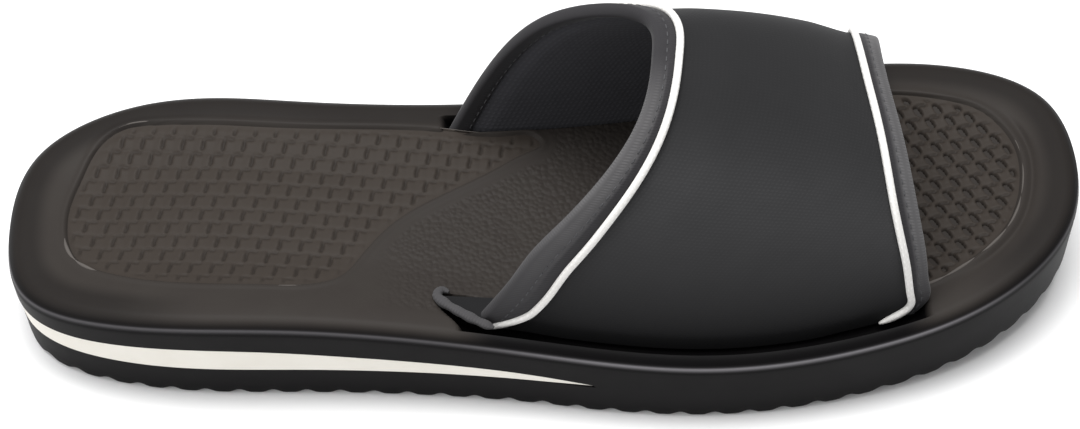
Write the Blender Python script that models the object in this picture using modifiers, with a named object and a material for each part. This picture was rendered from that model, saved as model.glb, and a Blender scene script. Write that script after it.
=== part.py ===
"""A sport slide for the right foot: a three-layer foam sole under one wide arched strap.

The slide stands on its sole. The toe points along +X, the inner side of the foot is at +Y, the floor is
z = 0, and the origin is under the middle of the sole. All sizes are in metres.
"""
import bmesh
import bpy
import numpy as np

# Driving dimensions of the sole
LENGTH = 0.290
BALL_WIDTH = 0.100
RIM_HEIGHT = 0.0318
TOE_SPRING = 0.0085
OUTSOLE_THICKNESS = 0.0116
WEDGE_THICKNESS = 0.0086
WEDGE_TIP_THICKNESS = 0.0004
RIM_ROUNDING = 0.0045
DISH_DEPTH = 0.0036
DISH_WIDTH = 0.022
PAD_RECESS = 0.0010
RIB_PITCH = 0.0090
RIB_DEPTH = 0.0013
OUTSOLE_INSET = 0.0004
WEDGE_INSET = 0.0006
TREAD_CHAMFER = 0.0012

# Driving dimensions of the strap
STRAP_TOP = 0.0885
STRAP_WALL = 0.0030
STRAP_SQUARENESS = 2.5
APEX_SHIFT = 0.0030
OUTER_FOOT_INSET = 0.0088
INNER_FOOT_INSET = 0.0085
SLOT_DEPTH = 0.0040
SLOT_MARGIN = 0.0028
TAPE_WIDTH = 0.0060
TAPE_THICKNESS = 0.0008
PIPING_RADIUS = 0.0010
TRIM_LIFT = 0.0008

# The gap that neighbouring pieces keep, and a cutter's overshoot past what it cuts
GAP = 0.0003
OVERSHOOT = 0.010

HALF_WIDTH = BALL_WIDTH / 2
HALF_TURN = np.pi

# Plan of the sole. along: share of LENGTH from the heel; inner, outer: shares of HALF_WIDTH
OUTLINE = (
    # along, inner, outer
    (0.020, 0.60, -0.35),
    (0.100, 0.864, -0.612),
    (0.265, 0.844, -0.734),
    (0.457, 0.838, -0.856),
    (0.632, 0.938, -1.0),
    (0.780, 1.004, -0.936),
    (0.910, 0.914, -0.670),
    (0.983, 0.632, -0.232),
)
HEEL_END_SIDE = 0.116
TOE_END_SIDE = 0.238

# The two centres that the round ends of the sole are drawn about, as shares of LENGTH
HEEL_CENTRE = 0.132
TOE_CENTRE = 0.845

# Height of the rim. along: share of LENGTH; height: share of RIM_HEIGHT
RIM = (
    # along, height
    (0.0, 0.84),
    (0.21, 1.0),
    (0.42, 0.865),
    (0.63, 0.745),
    (0.80, 0.790),
    (1.0, 0.920),
)

# Depth of the dish inside the rim. along: share of LENGTH; depth: share of DISH_DEPTH
DISH = (
    # along, depth
    (0.0, 1.0),
    (0.25, 1.0),
    (0.50, 0.60),
    (0.75, 0.50),
    (1.0, 0.80),
)

# The rise under the arch of the foot, which fills the inner side of the dish
ARCH_ALONG = 0.44
ARCH_SPREAD = 0.13
ARCH_FILL = 0.9

# Thickness of the white wedge. along: share of LENGTH; thickness: share of WEDGE_THICKNESS
WEDGE = (
    # along, thickness
    (0.0, 0.70),
    (0.055, 0.80),
    (0.14, 1.0),
    (0.24, 0.98),
    (0.30, 0.80),
    (0.43, 0.46),
    (0.50, 0.22),
    (0.535, 0.05),
)
WEDGE_FRONT = 0.535
SPRING_START = 0.66

# Plans of the two recessed pads. along: share of LENGTH; side: share of HALF_WIDTH
HEEL_PAD = (
    # along, side
    (0.055, 0.06),
    (0.065, -0.132),
    (0.096, -0.263),
    (0.139, -0.348),
    (0.190, -0.400),
    (0.243, -0.425),
    (0.288, -0.425),
    (0.310, -0.374),
    (0.328, -0.244),
    (0.365, 0.018),
    (0.402, 0.160),
    (0.460, 0.355),
    (0.489, 0.454),
    (0.501, 0.507),
    (0.497, 0.556),
    (0.465, 0.574),
    (0.414, 0.592),
    (0.272, 0.627),
    (0.177, 0.687),
    (0.130, 0.708),
    (0.105, 0.697),
    (0.082, 0.606),
    (0.065, 0.405),
    (0.056, 0.220),
)
TOE_PAD = (
    # along, side
    (0.690, 0.30),
    (0.702, 0.60),
    (0.760, 0.73),
    (0.844, 0.740),
    (0.894, 0.663),
    (0.920, 0.582),
    (0.939, 0.431),
    (0.947, 0.269),
    (0.945, 0.077),
    (0.924, -0.223),
    (0.884, -0.434),
    (0.843, -0.560),
    (0.770, -0.60),
    (0.715, -0.54),
    (0.692, -0.20),
)

# Edges of the strap. round: share of the half turn over the foot, from its outer to its inner side;
# along: share of LENGTH
STRAP_BACK = (
    # round, along
    (0.0, 0.433),
    (0.05, 0.453),
    (0.085, 0.467),
    (0.131, 0.485),
    (0.18, 0.511),
    (0.25, 0.547),
    (0.32, 0.574),
    (0.50, 0.599),
    (0.605, 0.597),
    (0.66, 0.581),
    (0.70, 0.559),
    (0.76, 0.516),
    (0.84, 0.473),
    (1.0, 0.415),
)
STRAP_FRONT = (
    # round, along
    (0.0, 0.818),
    (0.04, 0.8335),
    (0.088, 0.8325),
    (0.14, 0.829),
    (0.203, 0.8245),
    (0.283, 0.818),
    (0.39, 0.812),
    (0.61, 0.806),
    (0.80, 0.814),
    (1.0, 0.812),
)

# Width of the tape on the outside of the strap. round: as above; width: share of TAPE_WIDTH
BACK_TAPE = (
    # round, width
    (0.0, 1.08),
    (0.039, 1.27),
    (0.085, 1.35),
    (0.133, 1.29),
    (0.182, 1.08),
    (0.223, 0.94),
    (0.266, 0.84),
    (0.316, 0.75),
    (0.50, 0.72),
    (0.75, 0.90),
    (1.0, 1.10),
)
FRONT_TAPE = (
    # round, width
    (0.0, 0.16),
    (0.022, 0.32),
    (0.045, 0.56),
    (0.085, 0.64),
    (0.144, 0.69),
    (0.206, 0.82),
    (0.253, 0.92),
    (0.313, 0.99),
    (0.50, 0.98),
    (0.75, 0.90),
    (1.0, 0.60),
)

# Height of the strap's top line above the floor. along: share of LENGTH; height: share of STRAP_TOP
STRAP_CREST = (
    # along, height
    (0.40, 1.09),
    (0.524, 1.05),
    (0.594, 1.0),
    (0.680, 0.925),
    (0.733, 0.850),
    (0.785, 0.752),
    (0.826, 0.672),
)

# Shape of the tape's fold, as shares of the tape's lift and of the strap's wall, and the inner leg's
# share of the outer leg's width
FOLD_CORNER = 0.7
FOLD_FLAT = (0.25, 0.75)
INNER_LEG = 0.6

# How finely each piece is divided
RIB_SHARES = (0.14, 0.38, 0.62, 0.86)
RIB_VALLEYS = (0.0, 1.0, 1.0, 0.0)
SMOOTH_SHARES = (0.25, 0.75)
ROLL_ANGLES = (90, 60, 30, 0)
DISH_BANDS = (0.2, 0.45, 0.7, 1.0)
STRAP_ROUND_STEPS = 36
STRAP_ALONG_STEPS = 8
TRIM_SEARCH_STEPS = 360
TRIM_STEP_MARGIN = 0.3
PAD_STEPS = 64
PAD_RINGS = (1.0, 0.66, 0.33)
OUTLINE_STEPS = 2400
CURVE_WRAP = 4
SLOT_ROUND_END = 0.10
SLOT_ROUND_STEPS = 4

# Step of the slopes taken by differences, the distance that counts as one corner, and the angle in
# degrees above which an edge is sharp
SLOPE_STEP = 0.0001
MERGE_DISTANCE = 0.00001
SHARP_ANGLE = 35


def spline(knots, values, at):
    """Natural cubic spline: the bends at the knots come from one linear system, and a point between
    two knots is their weighted mean plus the weighted bends."""
    knots = np.asarray(knots, float)
    values = np.asarray(values, float)
    at = np.clip(np.asarray(at, float), knots[0], knots[-1])
    flat = values.reshape(len(knots), -1)
    step = np.diff(knots)
    slope = np.diff(flat, axis=0) / step[:, None]
    system = np.eye(len(knots))
    right = np.zeros_like(flat)
    for i in range(1, len(knots) - 1):
        system[i, i - 1:i + 2] = step[i - 1], 2 * (step[i - 1] + step[i]), step[i]
        right[i] = 6 * (slope[i] - slope[i - 1])
    bend = np.linalg.solve(system, right)
    i = np.clip(np.searchsorted(knots, at, side="right") - 1, 0, len(knots) - 2)
    width = step[i][..., None]
    b = ((at - knots[i]) / step[i])[..., None]
    a = 1 - b
    result = a * flat[i] + b * flat[i + 1]
    result = result + ((a ** 3 - a) * bend[i] + (b ** 3 - b) * bend[i + 1]) * width ** 2 / 6
    return result.reshape(at.shape + values.shape[1:])


def from_table(table, along):
    """Smooth value of a two-column table at shares of its first column."""
    columns = np.array(table)
    return spline(columns[:, 0], columns[:, 1], along)


def closed_curve(points, steps):
    """Smooth closed curve through points, spaced by their chords and wrapped at both ends."""
    points = [tuple(p) for p in points]
    wrapped = np.array(points[-CURVE_WRAP:] + points + points[:CURVE_WRAP + 1])
    chords = np.hypot(*np.diff(wrapped, axis=0).T)
    knots = np.concatenate([[0], np.cumsum(chords)])
    at = np.linspace(knots[CURVE_WRAP], knots[CURVE_WRAP + len(points)], steps, endpoint=False)
    return spline(knots, wrapped, at)


def draw_outline():
    """The sole's plan as a fine closed curve, fitted exactly into LENGTH by BALL_WIDTH."""
    inner = [(along, side) for along, side, _ in OUTLINE]
    outer = [(along, side) for along, _, side in reversed(OUTLINE)]
    shares = [(0.0, HEEL_END_SIDE)] + inner + [(1.0, TOE_END_SIDE)] + outer
    points = np.array(shares) * (LENGTH, HALF_WIDTH)
    curve = closed_curve(points, OUTLINE_STEPS)
    low = curve.min(axis=0)
    high = curve.max(axis=0)
    curve = (curve - low) / (high - low)
    return np.column_stack([curve[:, 0] * LENGTH, (curve[:, 1] - 0.5) * BALL_WIDTH])


OUTLINE_CURVE = draw_outline()
SPAN = (HEEL_CENTRE * LENGTH, TOE_CENTRE * LENGTH)


def side_at(x, inner):
    """Y of the outline on the inner or the outer side at distances x from the heel."""
    middle = np.interp(OUTLINE_CURVE[:, 0], (0, LENGTH),
                       (HEEL_END_SIDE * HALF_WIDTH, TOE_END_SIDE * HALF_WIDTH))
    on_side = OUTLINE_CURVE[:, 1] > middle if inner else OUTLINE_CURVE[:, 1] <= middle
    points = OUTLINE_CURVE[on_side]
    points = points[np.argsort(points[:, 0])]
    return np.interp(x, points[:, 0], points[:, 1])


def centre_of(x):
    """The middle line between the two sides, held at the two end centres."""
    x = np.clip(x, *SPAN)
    y = (side_at(x, True) + side_at(x, False)) / 2
    return np.stack([x, y], axis=-1)


def radius_table(centre):
    """Distance of the outline from an end centre, against its angle from +X."""
    arm = OUTLINE_CURVE - centre
    angle = np.arctan2(arm[:, 1], arm[:, 0])
    order = np.argsort(angle)
    angle = angle[order]
    reach = np.hypot(arm[:, 0], arm[:, 1])[order]
    angle = np.concatenate([angle - 2 * np.pi, angle, angle + 2 * np.pi])
    return angle, np.tile(reach, 3)


HEEL_RADII = radius_table(centre_of(SPAN[0]))
TOE_RADII = radius_table(centre_of(SPAN[1]))


def reach_of(points):
    """Distance from each point's centre to the outline through that point, and to the point itself."""
    centre = centre_of(points[..., 0])
    arm = points - centre
    own = np.hypot(arm[..., 0], arm[..., 1])
    angle = np.arctan2(arm[..., 1], arm[..., 0])
    sides = np.where(arm[..., 1] >= 0, side_at(centre[..., 0], True) - centre[..., 1],
                     centre[..., 1] - side_at(centre[..., 0], False))
    heel = np.interp(angle, *HEEL_RADII)
    toe = np.interp(angle, *TOE_RADII)
    reach = np.where(points[..., 0] < SPAN[0], heel, np.where(points[..., 0] > SPAN[1], toe, sides))
    return reach, own


def rib_counts():
    """How many ribs fit along a straight side, round the toe and round the heel."""
    straight = round((SPAN[1] - SPAN[0]) / RIB_PITCH)
    toe = round(HALF_TURN * np.interp(0.0, *TOE_RADII) / RIB_PITCH)
    heel = round(HALF_TURN * np.interp(HALF_TURN, *HEEL_RADII) / RIB_PITCH)
    return straight, toe, heel


def station_loop(shares):
    """Centres and outline points once round the sole, at the given shares of every rib pitch.

    The outer side runs forward, the toe is a half turn, the inner side runs back over the same
    stations, and the heel is a half turn. Shares mirror about one half, so both sides match.
    """
    straight, toe, heel = rib_counts()
    shares = np.array(shares)
    run = ((np.arange(straight)[:, None] + shares) / straight).ravel()
    forward = SPAN[0] + run * (SPAN[1] - SPAN[0])
    toe_turn = (((np.arange(toe)[:, None] + shares) / toe).ravel() - 0.5) * HALF_TURN
    heel_turn = (((np.arange(heel)[:, None] + shares) / heel).ravel() + 0.5) * HALF_TURN
    centres = []
    edges = []
    for inner, stations in ((False, forward), (True, forward[::-1])):
        centres.append(centre_of(stations))
        edges.append(np.column_stack([stations, side_at(stations, inner)]))
        turn = heel_turn if inner else toe_turn
        radii = HEEL_RADII if inner else TOE_RADII
        centre = centre_of(np.full(len(turn), SPAN[0] if inner else SPAN[1]))
        arm = np.column_stack([np.cos(turn), np.sin(turn)]) * np.interp(turn, *radii)[:, None]
        centres.append(centre)
        edges.append(centre + arm)
    return np.vstack(centres), np.vstack(edges)


def inset_ring(loop, inset):
    """The outline points moved towards their centres by an inset."""
    centres, edges = loop
    arm = centres - edges
    return edges + arm * (inset / np.linalg.norm(arm, axis=1))[:, None]


def underside_height(x):
    """Toe spring: the square of the way from its start to the toe tip."""
    start = SPRING_START * LENGTH
    return TOE_SPRING * np.clip((x - start) / (LENGTH - start), 0, None) ** 2


def outsole_top(x):
    return OUTSOLE_THICKNESS + underside_height(x)


def wedge_top(x):
    thickness = WEDGE_THICKNESS * from_table(WEDGE, x / LENGTH)
    return outsole_top(x) + GAP + np.maximum(thickness, WEDGE_TIP_THICKNESS)


def footbed_height(points):
    """Height of the footbed's upper face: rim height less a quarter-round edge, less the dish, which
    deepens by a smooth step from the rim inwards and is partly filled under the arch of the foot."""
    reach, own = reach_of(points)
    inset = np.clip(reach - own, 0, None)
    along = points[..., 0] / LENGTH
    across = np.clip(1 - inset / RIM_ROUNDING, 0, 1)
    rounding = RIM_ROUNDING * (1 - np.sqrt(1 - across ** 2))
    way = np.clip((inset - RIM_ROUNDING) / DISH_WIDTH, 0, 1)
    step = way * way * (3 - 2 * way)
    bump = np.exp(-((along - ARCH_ALONG) / ARCH_SPREAD) ** 2)
    inner_side = np.clip((points[..., 1] - centre_of(points[..., 0])[..., 1]) / reach, 0, 1)
    dish = DISH_DEPTH * from_table(DISH, along) * step * (1 - ARCH_FILL * bump * inner_side)
    return RIM_HEIGHT * from_table(RIM, along) - rounding - dish


def strap_surface(turn, width):
    """Outer face of the strap. turn: share of the half turn over the foot; width: 0 at the back edge, 1
    at the front edge. Each cross-section is a superellipse in polar form between two feet in the sole."""
    turn = np.asarray(turn, float)
    width = np.asarray(width, float)
    back = from_table(STRAP_BACK, turn)
    front = from_table(STRAP_FRONT, turn)
    x = (back + (front - back) * width) * LENGTH
    outer_foot = side_at(x, False) + OUTER_FOOT_INSET
    inner_foot = side_at(x, True) - INNER_FOOT_INSET
    outer_floor = footbed_height(np.stack([x, outer_foot], axis=-1))
    inner_floor = footbed_height(np.stack([x, inner_foot], axis=-1))
    foot = outer_floor + (inner_floor - outer_floor) * turn - SLOT_DEPTH
    rise = STRAP_TOP * from_table(STRAP_CREST, x / LENGTH) - foot
    angle = turn * HALF_TURN
    c = np.cos(angle)
    s = np.sin(angle)
    polar = (np.abs(c) ** STRAP_SQUARENESS + np.abs(s) ** STRAP_SQUARENESS) ** (-1 / STRAP_SQUARENESS)
    y = (outer_foot + inner_foot) / 2 - (inner_foot - outer_foot) / 2 * c * polar + APEX_SHIFT * s ** 2
    z = foot + rise * s * polar
    return np.stack([x, y, z], axis=-1)


def strap_frame(turn, width):
    """Point, outward normal and edge-ward scale of the strap at given turns and widths."""
    step = SLOPE_STEP
    turn = np.clip(np.asarray(turn, float), step, 1 - step)
    point = strap_surface(turn, width)
    over = strap_surface(turn + step, width) - strap_surface(turn - step, width)
    along = (strap_surface(turn, width + step) - strap_surface(turn, width - step)) / (2 * step)
    normal = np.cross(along, over)
    normal /= np.linalg.norm(normal, axis=-1, keepdims=True)
    over = over / np.linalg.norm(over, axis=-1, keepdims=True)
    square = np.linalg.norm(np.cross(along, over), axis=-1)
    return point, normal, square


def edge_offset(turn, front, inward, lift):
    """Point at a distance inward from the strap's edge, square to it, and a lift off its outer face."""
    edge = 1.0 if front else 0.0
    _, _, square = strap_frame(turn, edge)
    width = edge + (-inward if front else inward) / square
    point, normal, _ = strap_frame(turn, width)
    return point + normal * lift


def tape_width(turn, front):
    """Width of the tape's outer leg: it narrows to the front foot and widens to the back one."""
    return TAPE_WIDTH * from_table(FRONT_TAPE if front else BACK_TAPE, turn)


def add_object(name, mesh, material, collection):
    obj = bpy.data.objects.new(name, mesh)
    if material:
        mesh.materials.append(material)
    collection.objects.link(obj)
    return obj


def make_mesh(name, points, faces, smooth=True):
    """Mesh from points measured from the heel, moved so that the sole's middle is at x = 0."""
    points = np.asarray(points, float) - (LENGTH / 2, 0, 0)
    mesh = bpy.data.meshes.new(name)
    mesh.from_pydata(points.tolist(), [], [tuple(int(i) for i in face) for face in faces])
    work = bmesh.new()
    work.from_mesh(mesh)
    bmesh.ops.remove_doubles(work, verts=work.verts, dist=MERGE_DISTANCE)
    bmesh.ops.recalc_face_normals(work, faces=work.faces)
    work.to_mesh(mesh)
    work.free()
    if smooth:
        mesh.shade_smooth()
        mesh.set_sharp_from_angle(angle=np.radians(SHARP_ANGLE))
    return mesh


def ring_faces(rows, columns, closed=True):
    """Quads between neighbouring rings of a grid, joined round when closed."""
    last = columns if closed else columns - 1
    faces = []
    for i in range(rows - 1):
        for j in range(last):
            k = (j + 1) % columns
            faces.append((i * columns + j, i * columns + k, (i + 1) * columns + k, (i + 1) * columns + j))
    return faces


def ring_solid(name, rings):
    """Closed body from rings whose first and last collapse onto the sole's middle line."""
    points = np.vstack(rings)
    return make_mesh(name, points, ring_faces(len(rings), len(rings[0])))


def with_height(flat, height):
    return np.column_stack([flat, height])


def make_outsole(material, collection):
    """Bottom layer: a flat top, an upright wall, and an underside of cross ribs with flat lands."""
    loop = station_loop(RIB_SHARES)
    centres = loop[0]
    valleys = np.tile(RIB_VALLEYS, len(centres) // len(RIB_VALLEYS)) * RIB_DEPTH
    on_span = (centres[:, 0] > SPAN[0]) & (centres[:, 0] < SPAN[1])
    wall = inset_ring(loop, OUTSOLE_INSET)
    tread_edge = inset_ring(loop, OUTSOLE_INSET + TREAD_CHAMFER)
    rings = [
        with_height(centres, outsole_top(centres[:, 0])),
        with_height(wall, outsole_top(wall[:, 0])),
        with_height(wall, underside_height(wall[:, 0]) + TREAD_CHAMFER + valleys),
        with_height(tread_edge, underside_height(tread_edge[:, 0]) + valleys),
        with_height(centres, underside_height(centres[:, 0]) + valleys * on_span),
    ]
    return add_object("outsole", ring_solid("outsole", rings), material, collection)


def make_wedge(material, collection, cutters):
    """White wedge: a thinning plate on the outsole, cut off square at its front."""
    loop = station_loop(SMOOTH_SHARES)
    centres = loop[0]
    edge = inset_ring(loop, WEDGE_INSET)
    rings = [
        with_height(centres, wedge_top(centres[:, 0])),
        with_height(edge, wedge_top(edge[:, 0])),
        with_height(edge, outsole_top(edge[:, 0]) + GAP),
        with_height(centres, outsole_top(centres[:, 0]) + GAP),
    ]
    wedge = add_object("midsole_wedge", ring_solid("midsole_wedge", rings), material, collection)
    work = bmesh.new()
    bmesh.ops.create_cube(work, size=1.0)
    bmesh.ops.scale(work, verts=work.verts, vec=(LENGTH, 2 * BALL_WIDTH, 2 * RIM_HEIGHT))
    front = WEDGE_FRONT * LENGTH - LENGTH / 2
    bmesh.ops.translate(work, verts=work.verts, vec=(front + LENGTH / 2, 0, 0))
    block = bpy.data.meshes.new("wedge_front_cutter")
    work.to_mesh(block)
    work.free()
    cut_away(wedge, add_cutter("wedge_front_cutter", block, cutters))
    return wedge


def seat_height(x):
    """Underside of the footbed: over the wedge, and in front of its end over the bottom layer."""
    over_wedge = x < WEDGE_FRONT * LENGTH + RIB_PITCH / 2
    return np.where(over_wedge, wedge_top(x), outsole_top(x)) + GAP


def make_footbed(material, collection):
    """Top layer: its underside follows the wedge, and its rim rolls over into a shallow dish."""
    loop = station_loop(SMOOTH_SHARES)
    centres, edges = loop
    rings = [
        with_height(centres, seat_height(centres[:, 0])),
        with_height(edges, seat_height(edges[:, 0])),
    ]
    rolls = RIM_ROUNDING * (1 - np.sin(np.radians(ROLL_ANGLES)))
    bands = RIM_ROUNDING + DISH_WIDTH * np.array(DISH_BANDS)
    for inset in (*rolls, *bands):
        flat = inset_ring(loop, inset)
        rings.append(with_height(flat, footbed_height(flat)))
    rings.append(with_height(centres, footbed_height(centres)))
    return add_object("footbed", ring_solid("footbed", rings), material, collection)


def add_cutter(name, mesh, cutters):
    cutter = bpy.data.objects.new(name, mesh)
    cutter.hide_render = True
    cutter.display_type = "WIRE"
    cutters.objects.link(cutter)
    return cutter


def cut_away(target, cutter):
    modifier = target.modifiers.new("Cut " + cutter.name, "BOOLEAN")
    modifier.operation = "DIFFERENCE"
    modifier.solver = "EXACT"
    modifier.object = cutter


def make_pad_cutter(name, table, cutters):
    """Cutter for a recessed pad: its lower face follows the footbed at a constant depth."""
    points = np.array(table) * (LENGTH, HALF_WIDTH)
    curve = closed_curve(points, PAD_STEPS)
    middle = curve.mean(axis=0)
    flats = [middle + (curve - middle) * share for share in PAD_RINGS]
    floor_rings = [with_height(flat, footbed_height(flat) - PAD_RECESS) for flat in flats]
    top = with_height(curve, np.full(PAD_STEPS, RIM_HEIGHT + OVERSHOOT))
    rings = [top] + floor_rings
    faces = ring_faces(len(rings), PAD_STEPS)
    faces.append(tuple(range(PAD_STEPS)))
    last = (len(rings) - 1) * PAD_STEPS
    faces.append(tuple(range(last, last + PAD_STEPS)))
    return add_cutter(name, make_mesh(name, np.vstack(rings), faces, smooth=False), cutters)


def strap_grid(turns, widths, lift, sink):
    """Grid of the strap's outer face, lifted off it, with its feet sunk by a further depth."""
    turn, width = np.meshgrid(turns, widths, indexing="ij")
    point, normal, _ = strap_frame(turn, width)
    foot_share = np.clip(1 - np.minimum(turn, 1 - turn) / SLOT_ROUND_END, 0, 1)
    point = point + normal * lift
    point[..., 2] -= sink * foot_share
    return point


def grid_mesh(name, grid, smooth=True):
    rows, columns = grid.shape[:2]
    return make_mesh(name, grid.reshape(-1, 3), ring_faces(rows, columns, closed=False), smooth)


def thicken(obj, thickness):
    """Wall of a real thickness, grown inwards from the outer face."""
    modifier = obj.modifiers.new("Wall", "SOLIDIFY")
    modifier.thickness = thickness
    modifier.offset = -1.0
    modifier.use_even_offset = True


def face_up(mesh):
    """Turn an open sheet's faces so that its middle looks up and out."""
    work = bmesh.new()
    work.from_mesh(mesh)
    work.faces.ensure_lookup_table()
    highest = max(work.faces, key=lambda face: face.calc_center_median().z)
    if highest.normal.z < 0:
        bmesh.ops.reverse_faces(work, faces=work.faces)
    work.to_mesh(mesh)
    work.free()


def face_out(mesh, outward_y):
    """Turn an open sheet's faces so that they look to the given side."""
    work = bmesh.new()
    work.from_mesh(mesh)
    total = sum(face.normal.y for face in work.faces)
    if total * outward_y < 0:
        bmesh.ops.reverse_faces(work, faces=work.faces)
    work.to_mesh(mesh)
    work.free()


def make_strap(material, collection):
    """The upper: one arched sheet with a wall, open in front, behind and underneath."""
    turns = np.linspace(0, 1, STRAP_ROUND_STEPS + 1)
    widths = np.linspace(0, 1, STRAP_ALONG_STEPS + 1)
    mesh = grid_mesh("upper_strap", strap_grid(turns, widths, 0.0, 0.0))
    face_up(mesh)
    strap = add_object("upper_strap", mesh, material, collection)
    thicken(strap, STRAP_WALL)
    return strap


def make_slot_cutter(name, inner, cutters):
    """Cutter for the slot that takes one foot of the strap, with a margin outside it."""
    turns = np.linspace(0, SLOT_ROUND_END, SLOT_ROUND_STEPS + 1)
    if inner:
        turns = 1 - turns
    length = LENGTH * (STRAP_FRONT[0][1] - STRAP_BACK[0][1])
    spare = SLOT_MARGIN / length
    widths = np.linspace(-spare, 1 + spare, STRAP_ALONG_STEPS + 1)
    mesh = grid_mesh(name, strap_grid(turns, widths, SLOT_MARGIN, GAP), smooth=False)
    face_out(mesh, 1 if inner else -1)
    cutter = add_cutter(name, mesh, cutters)
    thicken(cutter, SLOT_MARGIN + STRAP_WALL + GAP)
    return cutter


def trim_turns(front):
    """Turns of the strap's grid between the two places where its trim meets the footbed."""
    edge = 1.0 if front else 0.0
    fine = np.linspace(0, 1, TRIM_SEARCH_STEPS + 1)
    point, _, _ = strap_frame(fine, edge)
    floor = footbed_height(point[:, :2])
    clear = fine[point[:, 2] > floor + TRIM_LIFT]
    grid = np.linspace(0, 1, STRAP_ROUND_STEPS + 1)
    margin = TRIM_STEP_MARGIN / STRAP_ROUND_STEPS
    between = grid[(grid > clear[0] + margin) & (grid < clear[-1] - margin)]
    return np.concatenate([[clear[0]], between, [clear[-1]]])


def make_binding(name, front, material, collection):
    """Tape folded over one edge of the strap: a U in section, with a rounded fold."""
    turns = trim_turns(front)
    wall = STRAP_WALL
    lift = GAP + TAPE_THICKNESS
    fold = FOLD_CORNER * lift
    outer = tape_width(turns, front)
    inner = INNER_LEG * outer
    profile = (
        # inward from the edge, lift off the strap's outer face
        (outer, GAP),
        (outer, lift),
        (0.0, lift),
        (-fold, lift - fold / 2),
        (-lift, -wall * FOLD_FLAT[0]),
        (-lift, -wall * FOLD_FLAT[1]),
        (-fold, -wall - lift + fold / 2),
        (0.0, -wall - lift),
        (inner, -wall - lift),
        (inner, -wall - GAP),
        (-GAP, -wall - GAP),
        (-GAP, GAP),
    )
    rows = [edge_offset(turns, front, inward, lift) for inward, lift in profile]
    points = np.stack(rows, axis=1)
    count = len(profile)
    faces = ring_faces(len(turns), count)
    faces.append(tuple(range(count)))
    last = (len(turns) - 1) * count
    faces.append(tuple(range(last, last + count)))
    mesh = make_mesh(name, points.reshape(-1, 3), faces)
    return add_object(name, mesh, material, collection)


def make_piping(name, front, material, collection):
    """Round cord laid on the strap along the inner border of the tape."""
    turns = trim_turns(front)
    inward = tape_width(turns, front) + GAP + PIPING_RADIUS
    points = edge_offset(turns, front, inward, GAP + PIPING_RADIUS)
    points = points - (LENGTH / 2, 0, 0)
    curve = bpy.data.curves.new(name, "CURVE")
    curve.dimensions = "3D"
    curve.bevel_depth = PIPING_RADIUS
    curve.bevel_resolution = 1
    curve.use_fill_caps = True
    line = curve.splines.new("POLY")
    line.points.add(len(points) - 1)
    for knot, point in zip(line.points, points):
        knot.co = (*point, 1)
    curve.materials.append(material)
    obj = bpy.data.objects.new(name, curve)
    collection.objects.link(obj)
    return obj


def finish(name, colour, roughness):
    """Principled material of one colour (sRGB hex) and roughness."""
    material = bpy.data.materials.new(name)
    material.use_nodes = True
    shader = material.node_tree.nodes["Principled BSDF"]
    srgb = [int(colour[i:i + 2], 16) / 255 for i in (0, 2, 4)]
    linear = [c / 12.92 if c <= 0.04045 else ((c + 0.055) / 1.055) ** 2.4 for c in srgb]
    shader.inputs["Base Color"].default_value = (*linear, 1)
    shader.inputs["Roughness"].default_value = roughness
    shader.inputs["Metallic"].default_value = 0.0
    return material


def main():
    for obj in list(bpy.data.objects):
        bpy.data.objects.remove(obj, do_unlink=True)
    slide = bpy.data.collections.new("Sport slide")
    cutters = bpy.data.collections.new("Cutters")
    bpy.context.scene.collection.children.link(slide)
    bpy.context.scene.collection.children.link(cutters)
    black_foam = finish("Black foam", "2a292a", 0.6)
    white_foam = finish("White foam", "e9e6df", 0.55)
    footbed_foam = finish("Footbed foam", "3b3836", 0.62)
    strap_cloth = finish("Strap cloth", "353536", 0.85)
    tape = finish("Binding tape", "414043", 0.8)
    cord = finish("White cord", "ececec", 0.6)
    make_outsole(black_foam, slide)
    make_wedge(white_foam, slide, cutters)
    footbed = make_footbed(footbed_foam, slide)
    cut_away(footbed, make_slot_cutter("outer_slot_cutter", False, cutters))
    cut_away(footbed, make_slot_cutter("inner_slot_cutter", True, cutters))
    cut_away(footbed, make_pad_cutter("heel_pad_cutter", HEEL_PAD, cutters))
    cut_away(footbed, make_pad_cutter("toe_pad_cutter", TOE_PAD, cutters))
    make_strap(strap_cloth, slide)
    make_binding("binding_back", False, tape, slide)
    make_binding("binding_front", True, tape, slide)
    make_piping("piping_back", False, cord, slide)
    make_piping("piping_front", True, cord, slide)


main()
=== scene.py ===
# %% [markdown]
# A sport slide sandal for the right foot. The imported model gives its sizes: a sole of three foam layers
# and one arched strap, with taped and piped edges. Each cell below makes one of its finer pieces as a
# surface worked out with numpy, and gives it the finish of its real material.

import bmesh
import bpy
import numpy as np
from mathutils import Matrix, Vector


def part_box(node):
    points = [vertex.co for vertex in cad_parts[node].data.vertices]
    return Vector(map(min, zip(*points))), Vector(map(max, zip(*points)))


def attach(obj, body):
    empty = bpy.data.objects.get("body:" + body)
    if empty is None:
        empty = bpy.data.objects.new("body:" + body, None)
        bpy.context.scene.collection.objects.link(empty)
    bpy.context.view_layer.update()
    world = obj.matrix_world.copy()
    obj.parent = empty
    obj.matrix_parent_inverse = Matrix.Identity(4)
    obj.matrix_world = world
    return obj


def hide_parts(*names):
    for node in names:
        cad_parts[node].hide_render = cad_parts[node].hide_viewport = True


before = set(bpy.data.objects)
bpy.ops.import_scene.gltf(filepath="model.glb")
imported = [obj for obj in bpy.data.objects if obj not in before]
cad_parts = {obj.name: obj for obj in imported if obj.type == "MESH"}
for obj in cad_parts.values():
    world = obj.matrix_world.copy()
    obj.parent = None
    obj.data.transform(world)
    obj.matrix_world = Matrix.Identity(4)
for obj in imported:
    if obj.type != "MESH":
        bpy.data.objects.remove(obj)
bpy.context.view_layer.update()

print("nodes:", sorted(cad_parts))

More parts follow.
